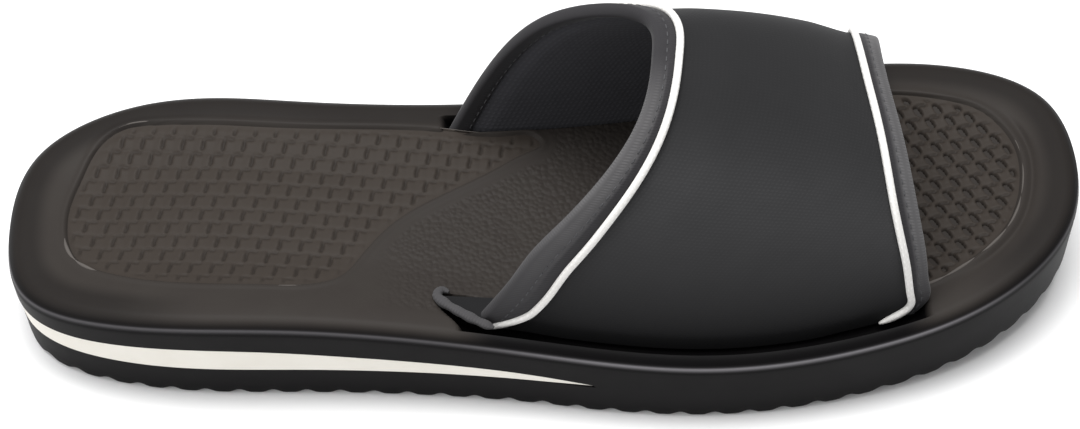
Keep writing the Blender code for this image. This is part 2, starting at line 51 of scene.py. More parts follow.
# %% [markdown]
# The camera comes first, because every finish is judged from it. The photograph looks down on the
# outer side of the slide from about 53 degrees, from close by, so the near edge looks larger. A camera
# is four things: the point it looks at, the way back from there to the lens, a roll, and a focal length.

# %% Camera
AIM = np.array([-0.00148, 0.00496, 0.0195])
DISTANCE = 0.600
ELEVATION = np.radians(53.02)
YAW = np.radians(-1.41)
ROLL = np.radians(-1.82)
SENSOR = 36.0
FOCAL = 73.48


def camera_axes():
    """Right, up and back of the camera: back points from the aim to the lens, and the roll turns right
    and up about it."""
    back = np.array([np.sin(YAW) * np.cos(ELEVATION), -np.cos(YAW) * np.cos(ELEVATION), np.sin(ELEVATION)])
    level = np.array([np.cos(YAW), np.sin(YAW), 0.0])
    rise = np.cross(back, level)
    right = level * np.cos(ROLL) + rise * np.sin(ROLL)
    up = rise * np.cos(ROLL) - level * np.sin(ROLL)
    return right, up, back


def add_camera():
    data = bpy.data.cameras.new("view")
    data.sensor_width = SENSOR
    data.lens = FOCAL
    data.clip_start = 0.01
    camera = bpy.data.objects.new("view", data)
    bpy.context.scene.collection.objects.link(camera)
    right, up, back = camera_axes()
    matrix = np.eye(4)
    matrix[:3, :3] = np.column_stack([right, up, back])
    matrix[:3, 3] = AIM + back * DISTANCE
    camera.matrix_world = Matrix(matrix.tolist())
    bpy.context.scene.camera = camera
    return camera


camera = add_camera()
print("camera at", [round(v, 3) for v in camera.matrix_world.translation])

# %% [markdown]
# Black foam shows its form only by what it mirrors. A wide soft box overhead lights the tops and glosses
# the rim, but the thin light line along the rim is a painted highlight in the footbed's colour. A second
# box from the heel side lifts the strap, and a pale room fills the rest. The floor is a plain pale sheet
# that the slide stands on.

# %% Light and floor
FLOOR_SIZE = 6.0
WORLD_STRENGTH = 0.50


def hex_colour(code):
    """Linear colour from an sRGB hex value: each channel is undone by the sRGB curve."""
    srgb = np.array([int(code[i:i + 2], 16) / 255 for i in (0, 2, 4)])
    linear = np.where(srgb <= 0.04045, srgb / 12.92, ((srgb + 0.055) / 1.055) ** 2.4)
    return (*linear.tolist(), 1.0)


def add_light(name, place, target, width, height, power):
    """A rectangular soft box at a place, turned to face a target."""
    data = bpy.data.lights.new(name, "AREA")
    data.shape = "RECTANGLE"
    data.size = width
    data.size_y = height
    data.energy = power
    light = bpy.data.objects.new(name, data)
    bpy.context.scene.collection.objects.link(light)
    back = np.array(place) - np.array(target)
    back = back / np.linalg.norm(back)
    side = np.cross([0.0, 1.0, 0.0], back)
    side = side / np.linalg.norm(side)
    matrix = np.eye(4)
    matrix[:3, :3] = np.column_stack([side, np.cross(back, side), back])
    matrix[:3, 3] = place
    light.matrix_world = Matrix(matrix.tolist())
    return light


def add_world():
    world = bpy.data.worlds.new("pale_room")
    world.use_nodes = True
    world.node_tree.nodes["Background"].inputs["Color"].default_value = hex_colour("fbfbfc")
    world.node_tree.nodes["Background"].inputs["Strength"].default_value = WORLD_STRENGTH
    bpy.context.scene.world = world


add_world()
add_light("overhead_box", (-0.05, 0.14, 1.0), (0.0, 0.0, 0.02), 0.9, 0.45, 14.0)
add_light("heel_box", (-0.80, -0.45, 0.75), (0.0, 0.0, 0.03), 0.6, 0.6, 3.0)
bpy.context.scene.view_settings.view_transform = "Standard"

# %% [markdown]
# Every finish below is a network of nodes on one shader. The helper adds a node, sets its properties,
# and gives each input either a value or the output that feeds it, so a network reads as a recipe.

# %% Node helper
MM = 0.001


def add_node(tree, kind, inputs=None, **settings):
    """Adds a shader node; inputs maps a socket's name or number to a value or to a feeding socket."""
    made = tree.nodes.new("ShaderNode" + kind)
    for key, value in settings.items():
        setattr(made, key, value)
    for key, value in (inputs or {}).items():
        if isinstance(value, bpy.types.NodeSocket):
            tree.links.new(value, made.inputs[key])
        else:
            made.inputs[key].default_value = value
    return made


def new_material(name):
    """An empty material: its node tree and its shader."""
    material = bpy.data.materials.new(name)
    material.use_nodes = True
    tree = material.node_tree
    return material, tree, tree.nodes["Principled BSDF"]


def add_floor():
    material, tree, shader = new_material("matt_paper")
    place = add_node(tree, "TexCoord").outputs["Object"]
    fibre = add_node(tree, "TexNoise", {"Vector": place, "Scale": 40.0, "Detail": 3.0}).outputs["Fac"]
    shader.inputs["Base Color"].default_value = hex_colour("f4f4f4")
    rough = add_node(tree, "MapRange", {"Value": fibre, "To Min": 0.85, "To Max": 0.95}).outputs["Result"]
    tree.links.new(rough, shader.inputs["Roughness"])
    half = FLOOR_SIZE / 2
    mesh = bpy.data.meshes.new("floor")
    corners = [(-half, -half, 0), (half, -half, 0), (half, half, 0), (-half, half, 0)]
    mesh.from_pydata(corners, [], [(0, 1, 2, 3)])
    mesh.materials.append(material)
    floor = bpy.data.objects.new("floor", mesh)
    bpy.context.scene.collection.objects.link(floor)
    return floor


add_floor()

# %% [markdown]
# The sole is moulded ethylene-vinyl acetate foam. A steel mould leaves it satin, with a fine even grain
# that breaks the highlights, and rubbing makes some places a little glossier than others. The footbed's top
# is greyer and duller than its wall: the wall's near-black colour is painted shade, and the same painted
# shade darkens the troughs, the shelf beside them and part of the rim's band. A thin bead runs where the
# two halves of the mould closed. It is glossier, and its pale colour is a painted highlight. Under the arch
# the mould was etched with a leather grain of small pebbles. Three attributes of the mesh say where each of
# these shows: one for the top colour against the painted shade, one for the bead's gloss and painted
# highlight, and one for the pebbles.

# %% Foam finishes
GRAIN_MM = 0.45
PEBBLE_MM = 1.4
FOAM_SPECULAR = 0.06
BEAD_ROUGHNESS = 0.30
# The bead's pale colour is a painted highlight.
BEAD_HIGHLIGHT_COLOUR = "6e6c6f"


def moulded_foam(name, colour, worn_colour, painted_shade_colour=None, smooth=0.42, rough=0.54):
    """Moulded foam: satin, with mottled gloss and a fine mould grain. A second, darker colour makes it a
    footbed: it is painted shade, mixed in where the attribute top is low, and the bead's pale colour is a
    painted highlight. Colour, gloss and pebbles follow the mesh's attributes."""
    material, tree, shader = new_material(name)
    place = add_node(tree, "TexCoord").outputs["Object"]
    cloud = add_node(tree, "TexNoise", {"Vector": place, "Scale": 0.09 / MM, "Detail": 4.0}).outputs["Fac"]
    tone = add_node(tree, "Mix", {0: cloud, 6: hex_colour(colour), 7: hex_colour(worn_colour)},
                    data_type="RGBA").outputs[2]
    gloss = add_node(tree, "MapRange", {"Value": cloud, "To Min": smooth, "To Max": rough})
    gloss = gloss.outputs["Result"]
    grain = add_node(tree, "TexNoise", {"Vector": place, "Scale": 1 / (GRAIN_MM * MM), "Detail": 2.0})
    bump = add_node(tree, "Bump", {"Height": grain.outputs["Fac"], "Strength": 0.35, "Distance": 0.05 * MM})
    if painted_shade_colour:
        top = add_node(tree, "Attribute", attribute_name="top").outputs["Fac"]
        # Painted shade: the darker colour is mixed in where the attribute top is low.
        tone = add_node(tree, "Mix", {0: top, 6: hex_colour(painted_shade_colour), 7: tone},
                        data_type="RGBA").outputs[2]
        bead_gloss_and_highlight = add_node(tree, "Attribute", attribute_name="bead_gloss_and_highlight").outputs["Fac"]
        gloss = add_node(tree, "Mix", {0: bead_gloss_and_highlight, 2: gloss, 3: BEAD_ROUGHNESS}).outputs[0]
        # Painted highlight: the bead's pale colour stands in for the light line along the rim.
        tone = add_node(tree, "Mix", {0: bead_gloss_and_highlight, 6: tone, 7: hex_colour(BEAD_HIGHLIGHT_COLOUR)},
                        data_type="RGBA").outputs[2]
        cells = add_node(tree, "TexVoronoi", {"Vector": place, "Scale": 1 / (PEBBLE_MM * MM),
                                              "Smoothness": 0.35}, feature="SMOOTH_F1")
        zone = add_node(tree, "Attribute", attribute_name="pebble").outputs["Fac"]
        height = add_node(tree, "Math", {0: cells.outputs["Distance"], 1: zone}, operation="MULTIPLY")
        bump = add_node(tree, "Bump", {"Height": height.outputs[0], "Strength": 0.85, "Distance": 0.4 * MM,
                                       "Normal": bump.outputs["Normal"]}, invert=True)
    tree.links.new(tone, shader.inputs["Base Color"])
    tree.links.new(gloss, shader.inputs["Roughness"])
    shader.inputs["Specular IOR Level"].default_value = FOAM_SPECULAR
    tree.links.new(bump.outputs["Normal"], shader.inputs["Normal"])
    return material


outsole_foam = moulded_foam("moulded_black_foam", "0a090a", "0f0e0f")
# The second colours of the footbed and the pads are painted shade: on the footbed's wall, troughs, shelf
# and rim band, and in the pads' slots.
footbed_foam = moulded_foam("moulded_footbed_foam", "2f2b29", "33302d", painted_shade_colour="0b0a0b")
pad_foam = moulded_foam("moulded_pad_foam", "322d29", "37322e", painted_shade_colour="0b0a0a")
# The lips' pale colour is a painted highlight.
pale_lip_highlight_foam = moulded_foam("pale_lip_painted_highlight", "4e4a47", "5a5653")
wedge_foam = moulded_foam("cut_white_foam", "e9e6df", "dedad0", smooth=0.55, rough=0.65)
print("foams:", [m.name for m in (outsole_foam, footbed_foam, pad_foam, pale_lip_highlight_foam, wedge_foam)])

# %% [markdown]
# The strap is a sandwich: a knitted polyester face, a few millimetres of soft foam, and a brushed
# lining. Its edges are closed by a folded woven tape, and a white covered cord is sewn in beside the
# tape. Knit is drawn as two crossed waves on the surface's own coordinates, which are in metres, so
# the wales run round the foot whatever the strap's curve is. Real wales are 0.5 mm apart, too fine for
# the picture, so they are drawn 0.9 mm apart.

# %% Cloth finishes
WALE_MM = 0.9
RIB_MM = 0.8
BRAID_MM = 1.3
CLOTH_SPECULAR = 0.15


def woven(name, colour, dark_colour, pitch_mm, across_mm, relief_mm, rough, sheen, angle=0.0, shade=None):
    """Cloth of crossed threads: two waves at right angles give its relief, the troughs are darker, and a
    short pile gives it sheen. A shade colour, painted shade, is mixed in where the attribute named shade
    says so."""
    material, tree, shader = new_material(name)
    uv = add_node(tree, "UVMap", uv_map="cloth").outputs["UV"]
    turned = add_node(tree, "Mapping", {"Vector": uv, "Rotation": (0.0, 0.0, angle)}).outputs["Vector"]
    waves = []
    for direction, step in (("X", pitch_mm), ("Y", across_mm)):
        wave = add_node(tree, "TexWave", {"Vector": turned, "Scale": 2 * np.pi / 20 / (step * MM),
                                          "Distortion": 0.6, "Detail": 1.0}, bands_direction=direction)
        waves.append(wave.outputs["Fac"])
    thread = add_node(tree, "Math", {0: waves[0], 1: waves[1]}, operation="MULTIPLY").outputs[0]
    lint = add_node(tree, "TexNoise", {"Vector": uv, "Scale": 0.12 / MM, "Detail": 5.0}).outputs["Fac"]
    blend = add_node(tree, "Math", {0: thread, 1: lint}, operation="ADD").outputs[0]
    half = add_node(tree, "Math", {0: blend, 1: 0.5}, operation="MULTIPLY").outputs[0]
    tone = add_node(tree, "Mix", {0: half, 6: hex_colour(dark_colour), 7: hex_colour(colour)},
                    data_type="RGBA").outputs[2]
    if shade:
        zone = add_node(tree, "Attribute", attribute_name="shade").outputs["Fac"]
        tone = add_node(tree, "Mix", {0: zone, 6: tone, 7: hex_colour(shade)}, data_type="RGBA").outputs[2]
    tree.links.new(tone, shader.inputs["Base Color"])
    shader.inputs["Roughness"].default_value = rough
    shader.inputs["Sheen Weight"].default_value = sheen
    shader.inputs["Sheen Roughness"].default_value = 0.4
    shader.inputs["Specular IOR Level"].default_value = CLOTH_SPECULAR
    bump = add_node(tree, "Bump", {"Height": thread, "Strength": 0.6, "Distance": relief_mm * MM})
    tree.links.new(bump.outputs["Normal"], shader.inputs["Normal"])
    return material


# Painted shade: the shade colours of the knit and of the tape are mixed in by the attribute shade.
strap_knit = woven("knitted_polyester", "3b3b3c", "303031", WALE_MM, WALE_MM * 1.3, 0.05, 0.85, 0.03,
                   shade="1b1b1c")
strap_lining = woven("brushed_lining", "4f4f53", "3f3f43", WALE_MM * 1.6, WALE_MM * 1.6, 0.12, 0.9, 0.06)
edge_tape = woven("woven_edge_tape", "605f60", "484748", RIB_MM, RIB_MM * 3, 0.08, 0.75, 0.12,
                  shade="2f2e30")
white_cord = woven("covered_white_cord", "f0efed", "d5d3cf", BRAID_MM, BRAID_MM, 0.08, 0.6, 0.05, 0.7)
sewing_thread = woven("polyester_thread", "5a5a5c", "38383a", 0.3, 0.6, 0.03, 0.55, 0.0)
print("cloths:", [m.name for m in (strap_knit, strap_lining, edge_tape, white_cord, sewing_thread)])

# %% [markdown]
# The plan of the sole is one smooth closed curve through a few chosen points, each an inner and an
# outer half width at a share of the length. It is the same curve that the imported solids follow, and its
# length and width are read from the footbed's box. Everything else on the sole is placed by its
# distance inside this curve.

# %% Plan of the sole
sole_low, sole_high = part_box("footbed")
LENGTH = float(sole_high.x - sole_low.x)
BALL_WIDTH = float(sole_high.y - sole_low.y)
HALF_WIDTH = BALL_WIDTH / 2
OUTLINE_STEPS = 2400
HEEL_END_SIDE = 0.116
TOE_END_SIDE = 0.238
OUTLINE = (
    # along, inner side, outer side
    (0.020, 0.60, -0.35),
    (0.100, 0.864, -0.612),
    (0.265, 0.844, -0.734),
    (0.457, 0.838, -0.856),
    (0.632, 0.938, -1.0),
    (0.780, 1.004, -0.936),
    (0.910, 0.914, -0.670),
    (0.983, 0.632, -0.232),
)
SPAN = (0.132 * LENGTH, 0.845 * LENGTH)


def spline(knots, values, at):
    """Natural cubic spline: the bends at the knots come from one linear system, and a point between
    two knots is their weighted mean plus the weighted bends."""
    knots = np.asarray(knots, float)
    values = np.asarray(values, float)
    at = np.clip(np.asarray(at, float), knots[0], knots[-1])
    flat = values.reshape(len(knots), -1)
    step = np.diff(knots)
    slope = np.diff(flat, axis=0) / step[:, None]
    system = np.eye(len(knots))
    right = np.zeros_like(flat)
    for i in range(1, len(knots) - 1):
        system[i, i - 1:i + 2] = step[i - 1], 2 * (step[i - 1] + step[i]), step[i]
        right[i] = 6 * (slope[i] - slope[i - 1])
    bend = np.linalg.solve(system, right)
    i = np.clip(np.searchsorted(knots, at, side="right") - 1, 0, len(knots) - 2)
    width = step[i][..., None]
    b = ((at - knots[i]) / step[i])[..., None]
    a = 1 - b
    result = a * flat[i] + b * flat[i + 1]
    result = result + ((a ** 3 - a) * bend[i] + (b ** 3 - b) * bend[i + 1]) * width ** 2 / 6
    return result.reshape(at.shape + values.shape[1:])


def from_table(table, along):
    """Smooth value of a two-column table at shares of its first column."""
    columns = np.array(table)
    return spline(columns[:, 0], columns[:, 1], along)


def closed_curve(points, steps, wrap=4):
    """Smooth closed curve through points, spaced by their chords and wrapped at both ends."""
    points = [tuple(p) for p in points]
    wrapped = np.array(points[-wrap:] + points + points[:wrap + 1])
    chords = np.hypot(*np.diff(wrapped, axis=0).T)
    knots = np.concatenate([[0], np.cumsum(chords)])
    at = np.linspace(knots[wrap], knots[wrap + len(points)], steps, endpoint=False)
    return spline(knots, wrapped, at)


def draw_outline():
    """The sole's plan, measured from the heel and fitted exactly into its length and width."""
    inner = [(along, side) for along, side, _ in OUTLINE]
    outer = [(along, side) for along, _, side in reversed(OUTLINE)]
    shares = [(0.0, HEEL_END_SIDE)] + inner + [(1.0, TOE_END_SIDE)] + outer
    curve = closed_curve(np.array(shares) * (LENGTH, HALF_WIDTH), OUTLINE_STEPS)
    low = curve.min(axis=0)
    high = curve.max(axis=0)
    curve = (curve - low) / (high - low)
    return np.column_stack([curve[:, 0] * LENGTH, (curve[:, 1] - 0.5) * BALL_WIDTH])


OUTLINE_CURVE = draw_outline()


def side_table(inner):
    """X and Y of one side of the outline, in order from heel to toe."""
    middle = np.interp(OUTLINE_CURVE[:, 0], (0, LENGTH),
                       (HEEL_END_SIDE * HALF_WIDTH, TOE_END_SIDE * HALF_WIDTH))
    points = OUTLINE_CURVE[(OUTLINE_CURVE[:, 1] > middle) == inner]
    return points[np.argsort(points[:, 0])].T


SIDES = {True: side_table(True), False: side_table(False)}


def side_at(x, inner):
    """Y of the outline on the inner or the outer side at distances x from the heel."""
    return np.interp(x, *SIDES[inner])


def centre_of(x):
    """The middle line between the two sides, held at the two end centres."""
    x = np.clip(x, *SPAN)
    return np.stack([x, (side_at(x, True) + side_at(x, False)) / 2], axis=-1)


def radius_table(centre):
    """Distance of the outline from an end centre, against its angle from +X."""
    arm = OUTLINE_CURVE - centre
    angle = np.arctan2(arm[:, 1], arm[:, 0])
    order = np.argsort(angle)
    angle = angle[order]
    reach = np.hypot(arm[:, 0], arm[:, 1])[order]
    return np.concatenate([angle - 2 * np.pi, angle, angle + 2 * np.pi]), np.tile(reach, 3)


HEEL_RADII = radius_table(centre_of(SPAN[0]))
TOE_RADII = radius_table(centre_of(SPAN[1]))


def reach_of(points):
    """Distance from each point's centre to the outline through that point, and to the point itself."""
    centre = centre_of(points[..., 0])
    arm = points[..., :2] - centre
    own = np.hypot(arm[..., 0], arm[..., 1])
    angle = np.arctan2(arm[..., 1], arm[..., 0])
    sides = np.where(arm[..., 1] >= 0, side_at(centre[..., 0], True) - centre[..., 1],
                     centre[..., 1] - side_at(centre[..., 0], False))
    heel = np.interp(angle, *HEEL_RADII)
    toe = np.interp(angle, *TOE_RADII)
    reach = np.where(points[..., 0] < SPAN[0], heel, np.where(points[..., 0] > SPAN[1], toe, sides))
    return reach, own


print("sole", round(LENGTH, 4), "by", round(BALL_WIDTH, 4))

# %% [markdown]
# Heights are worked out the same way as the plan: a short table for each, smoothed by a spline. The
# rim falls from the heel to the ball and rises at the toe, the dish inside it is shallow and is filled
# under the arch, and the toe end springs off the floor.

# %% Heights of the sole
RIM_HEIGHT = 0.0318
RIM_ROUNDING = 0.0045
TOE_SPRING = 0.0085
OUTSOLE_THICKNESS = 0.0116
WEDGE_THICKNESS = 0.0086
WEDGE_FRONT = 0.535
SPRING_START = 0.66
DISH_DEPTH = 0.0036
DISH_WIDTH = 0.022
LAYER_GAP = 0.0003
RIM = ((0.0, 0.84), (0.21, 1.0), (0.42, 0.865), (0.63, 0.745), (0.80, 0.790), (1.0, 0.920))
DISH = ((0.0, 1.0), (0.25, 1.0), (0.50, 0.60), (0.75, 0.50), (1.0, 0.80))
WEDGE = ((0.0, 0.70), (0.055, 0.80), (0.14, 1.0), (0.24, 0.98), (0.30, 0.80), (0.43, 0.46),
         (0.50, 0.22), (0.535, 0.03))
ARCH_ALONG, ARCH_SPREAD, ARCH_FILL = 0.44, 0.13, 0.9


def smooth_step(low, high, value):
    """0 below low, 1 above high, and a curve that leaves both levels flat in between."""
    way = np.clip((value - low) / (high - low), 0, 1)
    return way * way * (3 - 2 * way)


def between(rise, fall, value):
    """1 in a range: it rises by one smooth step and falls by a later one."""
    return smooth_step(*rise, value) * (1 - smooth_step(*fall, value))


def underside_height(x):
    """Toe spring: the square of the way from its start to the toe tip."""
    start = SPRING_START * LENGTH
    return TOE_SPRING * np.clip((x - start) / (LENGTH - start), 0, None) ** 2


def outsole_top(x):
    """Top of the bottom layer: its thickness over the underside."""
    return OUTSOLE_THICKNESS + underside_height(x)


def wedge_top(x):
    """Top of the white wedge: the bottom layer's top plus the wedge's thickness there."""
    thickness = WEDGE_THICKNESS * from_table(WEDGE, x / LENGTH)
    return outsole_top(x) + LAYER_GAP + np.maximum(thickness, LAYER_GAP)


def footbed_height(points):
    """Upper face of the footbed: rim height, less a quarter round at the edge, less a dish that deepens
    by a smooth step inwards and is partly filled under the arch."""
    reach, own = reach_of(points)
    inset = np.clip(reach - own, 0, None)
    along = points[..., 0] / LENGTH
    across = np.clip(1 - inset / RIM_ROUNDING, 0, 1)
    rounding = RIM_ROUNDING * (1 - np.sqrt(1 - across ** 2))
    step = smooth_step(0, 1, (inset - RIM_ROUNDING) / DISH_WIDTH)
    bump = np.exp(-((along - ARCH_ALONG) / ARCH_SPREAD) ** 2)
    inner_side = np.clip((points[..., 1] - centre_of(points[..., 0])[..., 1]) / reach, 0, 1)
    dish = DISH_DEPTH * from_table(DISH, along) * step * (1 - ARCH_FILL * bump * inner_side)
    return RIM_HEIGHT * from_table(RIM, along) - rounding - dish


heights = [round(RIM_HEIGHT * float(from_table(RIM, along)), 4) for along in (0.0, 0.6, 1.0)]
print("rim at heel, waist and toe:", heights)

# %% [markdown]
# A layer of the sole is a stack of rings. Each ring is the plan drawn a little further in, and the last
# one has shrunk to the middle line, which closes the face. Columns run round the sole: forward along
# the outer side, round the toe, back along the inner side and round the heel, a whole number for each
# rib of the tread.

# %% Columns, rings and meshes
RIB_PITCH = 0.0090
MERGE = 0.000001


def rib_counts():
    """How many ribs fit along a straight side, round the toe and round the heel."""
    straight = round((SPAN[1] - SPAN[0]) / RIB_PITCH)
    toe = round(np.pi * np.interp(0.0, *TOE_RADII) / RIB_PITCH)
    heel = round(np.pi * np.interp(np.pi, *HEEL_RADII) / RIB_PITCH)
    return straight, toe, heel


def station_loop(steps):
    """Centres, outline points and place within a rib once round the sole, with a number of steps to
    each rib. Shares mirror about one half, so both sides match."""
    shares = (np.arange(steps) + 0.5) / steps
    straight, toe, heel = rib_counts()
    run = ((np.arange(straight)[:, None] + shares) / straight).ravel()
    forward = SPAN[0] + run * (SPAN[1] - SPAN[0])
    toe_turn = (((np.arange(toe)[:, None] + shares) / toe).ravel() - 0.5) * np.pi
    heel_turn = (((np.arange(heel)[:, None] + shares) / heel).ravel() + 0.5) * np.pi
    centres = []
    edges = []
    for inner, stations in ((False, forward), (True, forward[::-1])):
        centres.append(centre_of(stations))
        edges.append(np.column_stack([stations, side_at(stations, inner)]))
        turn = heel_turn if inner else toe_turn
        radii = HEEL_RADII if inner else TOE_RADII
        centre = centre_of(np.full(len(turn), SPAN[0] if inner else SPAN[1]))
        arm = np.column_stack([np.cos(turn), np.sin(turn)]) * np.interp(turn, *radii)[:, None]
        centres.append(centre)
        edges.append(centre + arm)
    centres = np.vstack(centres)
    return centres, np.vstack(edges), np.tile(shares, len(centres) // steps)


def inset_ring(loop, inset):
    """The outline points moved towards their centres by an inset, which may differ for each column."""
    centres, edges = loop[:2]
    arm = centres - edges
    return edges + arm * (inset / np.linalg.norm(arm, axis=1))[:, None]


def arm_lengths(loop):
    return np.linalg.norm(loop[0] - loop[1], axis=1)


def with_height(flat, height):
    return np.column_stack([flat, np.broadcast_to(height, len(flat))])


def grid_quads(rows, columns, wrap_rows=False, wrap_columns=False):
    """Quads between neighbours of a grid, joined round in the ways asked for."""
    number = np.arange(rows * columns).reshape(rows, columns)
    if wrap_rows:
        number = np.vstack([number, number[:1]])
    if wrap_columns:
        number = np.hstack([number, number[:, :1]])
    corners = (number[:-1, :-1], number[:-1, 1:], number[1:, 1:], number[1:, :-1])
    return np.stack(corners, axis=-1).reshape(-1, 4)


def make_mesh(name, points, faces, uv=None):
    """Closed mesh from points measured from the heel: doubles merged, normals turned outwards."""
    mesh = bpy.data.meshes.new(name)
    mesh.from_pydata((np.asarray(points) - (LENGTH / 2, 0, 0)).tolist(), [], [list(f) for f in faces])
    if uv is not None:
        layer = mesh.uv_layers.new(name="cloth")
        corner = np.zeros(len(mesh.loops), dtype=np.int32)
        mesh.loops.foreach_get("vertex_index", corner)
        layer.data.foreach_set("uv", np.asarray(uv, np.float32)[corner].ravel())
    work = bmesh.new()
    work.from_mesh(mesh)
    bmesh.ops.remove_doubles(work, verts=work.verts, dist=MERGE)
    bmesh.ops.recalc_face_normals(work, faces=work.faces)
    work.to_mesh(mesh)
    work.free()
    mesh.shade_smooth()
    return mesh


def add_layer(mesh, name, values):
    """A number at each vertex, for a finish to read by name."""
    layer = mesh.attributes.new(name, "FLOAT", "POINT")
    layer.data.foreach_set("value", np.asarray(values, np.float32))


def add_piece(name, mesh, material, slot, *nodes, sharp=None):
    """Puts a mesh in the scene as a finished piece that rides on the slide."""
    mesh.materials.append(material)
    if sharp:
        mesh.set_sharp_from_angle(angle=np.radians(sharp))
    piece = bpy.data.objects.new(name, mesh)
    bpy.context.scene.collection.objects.link(piece)
    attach(piece, "root")
    if nodes:
        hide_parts(*nodes)
    print(name, len(mesh.polygons), "faces")
    return piece


# %% [markdown]
# The bottom layer carries cross ribs that show as ripples along the edge of the sole. In the mould each
# rib is a flat land with a round valley after it. The valley is a raised cosine, as deep at the
# wall as underneath, and it fades towards the two end centres where the ribs fan out.

# %% Ribbed outsole
OUTSOLE_STEPS = 12
RIB_DEPTH = 0.0013
RIB_LAND = 0.14
OUTSOLE_INSET = 0.0004
TREAD_ROUND = 0.0012
WALL_ROWS = 6
TREAD_ROWS = 7
UNDER_ROWS = 10


def valley_depth(share):
    """Raised cosine between two lands: zero on the land, the full rib depth at the valley's middle."""
    way = np.clip((share - RIB_LAND) / (1 - 2 * RIB_LAND), 0, 1)
    return RIB_DEPTH * np.sin(np.pi * way) ** 2


def outsole_inset(x):
    """The bottom layer stands in a little under the wedge, and comes flush in front of it."""
    return OUTSOLE_INSET * (1 - smooth_step((WEDGE_FRONT - 0.05) * LENGTH, WEDGE_FRONT * LENGTH, x))


def make_outsole():
    """Flat top, upright wall, rounded tread edge and ribbed underside, from the middle line above to
    the middle line below."""
    loop = station_loop(OUTSOLE_STEPS)
    centres, edges, share = loop
    valley = valley_depth(share)
    inset = outsole_inset(edges[:, 0])
    top = inset_ring(loop, inset)
    rings = [with_height(centres, outsole_top(centres[:, 0]))]
    base = underside_height(top[:, 0])
    high = outsole_top(top[:, 0])
    for way in np.linspace(0, 1, WALL_ROWS):
        low = base + TREAD_ROUND + valley
        rings.append(with_height(top, high + (low - high) * way))
    for angle in np.linspace(0, np.pi / 2, TREAD_ROWS)[1:]:
        flat = inset_ring(loop, inset + TREAD_ROUND * (1 - np.cos(angle)))
        height = underside_height(flat[:, 0]) + valley + TREAD_ROUND * (1 - np.sin(angle))
        rings.append(with_height(flat, height))
    start = inset + TREAD_ROUND
    reach = arm_lengths(loop)
    on_span = (centres[:, 0] > SPAN[0]) & (centres[:, 0] < SPAN[1])
    for way in np.linspace(0, 1, UNDER_ROWS)[1:]:
        flat = inset_ring(loop, start + (reach - start) * way)
        fade = np.where(on_span, 1, 1 - way)
        rings.append(with_height(flat, underside_height(flat[:, 0]) + valley * fade))
    faces = grid_quads(len(rings), len(centres), wrap_columns=True)
    return make_mesh("outsole_ribbed", np.vstack(rings), faces)


add_piece("outsole_ribbed", make_outsole(), outsole_foam, "outsole_foam", "outsole", sharp=50)

# %% [markdown]
# The white layer is cut from sheet foam and glued in, so its wall is plain and its edges are crisp. It
# thins towards the ball of the foot and ends there in a point. Its columns are those of the sole that
# lie behind its front end, and the two cut ends are closed by a face each.

# %% White wedge
WEDGE_INSET = 0.0004
WEDGE_STEPS = 8


def make_wedge():
    """Middle line above, edge above, edge below, middle line below, for the columns round the heel."""
    loop = station_loop(WEDGE_STEPS)
    behind = loop[1][:, 0] <= WEDGE_FRONT * LENGTH
    start = int(np.argmax(~behind[:-1] & behind[1:])) + 1
    order = np.roll(np.arange(len(behind)), -start)
    order = order[behind[order]]
    loop = tuple(part[order] for part in loop)
    centres = loop[0]
    edge = inset_ring(loop, WEDGE_INSET)
    seat = outsole_top(edge[:, 0]) + LAYER_GAP / 2
    crown = np.maximum(wedge_top(edge[:, 0]), seat)
    rings = [
        with_height(centres, np.maximum(wedge_top(centres[:, 0]), outsole_top(centres[:, 0]))),
        with_height(edge, crown),
        with_height(edge, seat),
        with_height(centres, outsole_top(centres[:, 0]) + LAYER_GAP / 2),
    ]
    count = len(centres)
    faces = [tuple(f) for f in grid_quads(len(rings), count)]
    faces.append(tuple(count * row for row in range(len(rings))))
    faces.append(tuple(count * row + count - 1 for row in range(len(rings))))
    return make_mesh("wedge_white", np.vstack(rings), faces)


add_piece("wedge_white", make_wedge(), wedge_foam, "wedge_foam", "midsole_wedge", sharp=30)

# %% [markdown]
# Two pads are pressed into the footbed: a long one under the heel, whose front edge runs across to the
# arch, and one under the toes. Each lies a little lower than the foam round it and has a thin raised lip,
# drawn in a pale colour that is a painted highlight. The toe pad has a soft groove outside its front. All
# of that depends on one number, the distance from the pad's border, so that is what the next cell works
# out.

# %% Borders of the two pads
HEEL_PAD = (
    # along, side
    (0.055, 0.06), (0.065, -0.132), (0.096, -0.263), (0.139, -0.348), (0.190, -0.400), (0.243, -0.425),
    (0.288, -0.425), (0.310, -0.374), (0.328, -0.244), (0.365, 0.018), (0.402, 0.160), (0.460, 0.355),
    (0.489, 0.454), (0.501, 0.507), (0.497, 0.556), (0.465, 0.574), (0.414, 0.592), (0.272, 0.627),
    (0.177, 0.687), (0.130, 0.708), (0.105, 0.697), (0.082, 0.606), (0.065, 0.405), (0.056, 0.220),
)
TOE_PAD = (
    # along, side
    (0.690, 0.30), (0.702, 0.60), (0.760, 0.73), (0.844, 0.740), (0.894, 0.663), (0.920, 0.582),
    (0.939, 0.431), (0.947, 0.269), (0.945, 0.077), (0.924, -0.223), (0.884, -0.434), (0.843, -0.560),
    (0.770, -0.60), (0.715, -0.54), (0.692, -0.20),
)
BORDER_STEPS = 240
HEEL_BORDER = closed_curve(np.array(HEEL_PAD) * (LENGTH, HALF_WIDTH), BORDER_STEPS)
TOE_BORDER = closed_curve(np.array(TOE_PAD) * (LENGTH, HALF_WIDTH), BORDER_STEPS)
FAR = 0.020


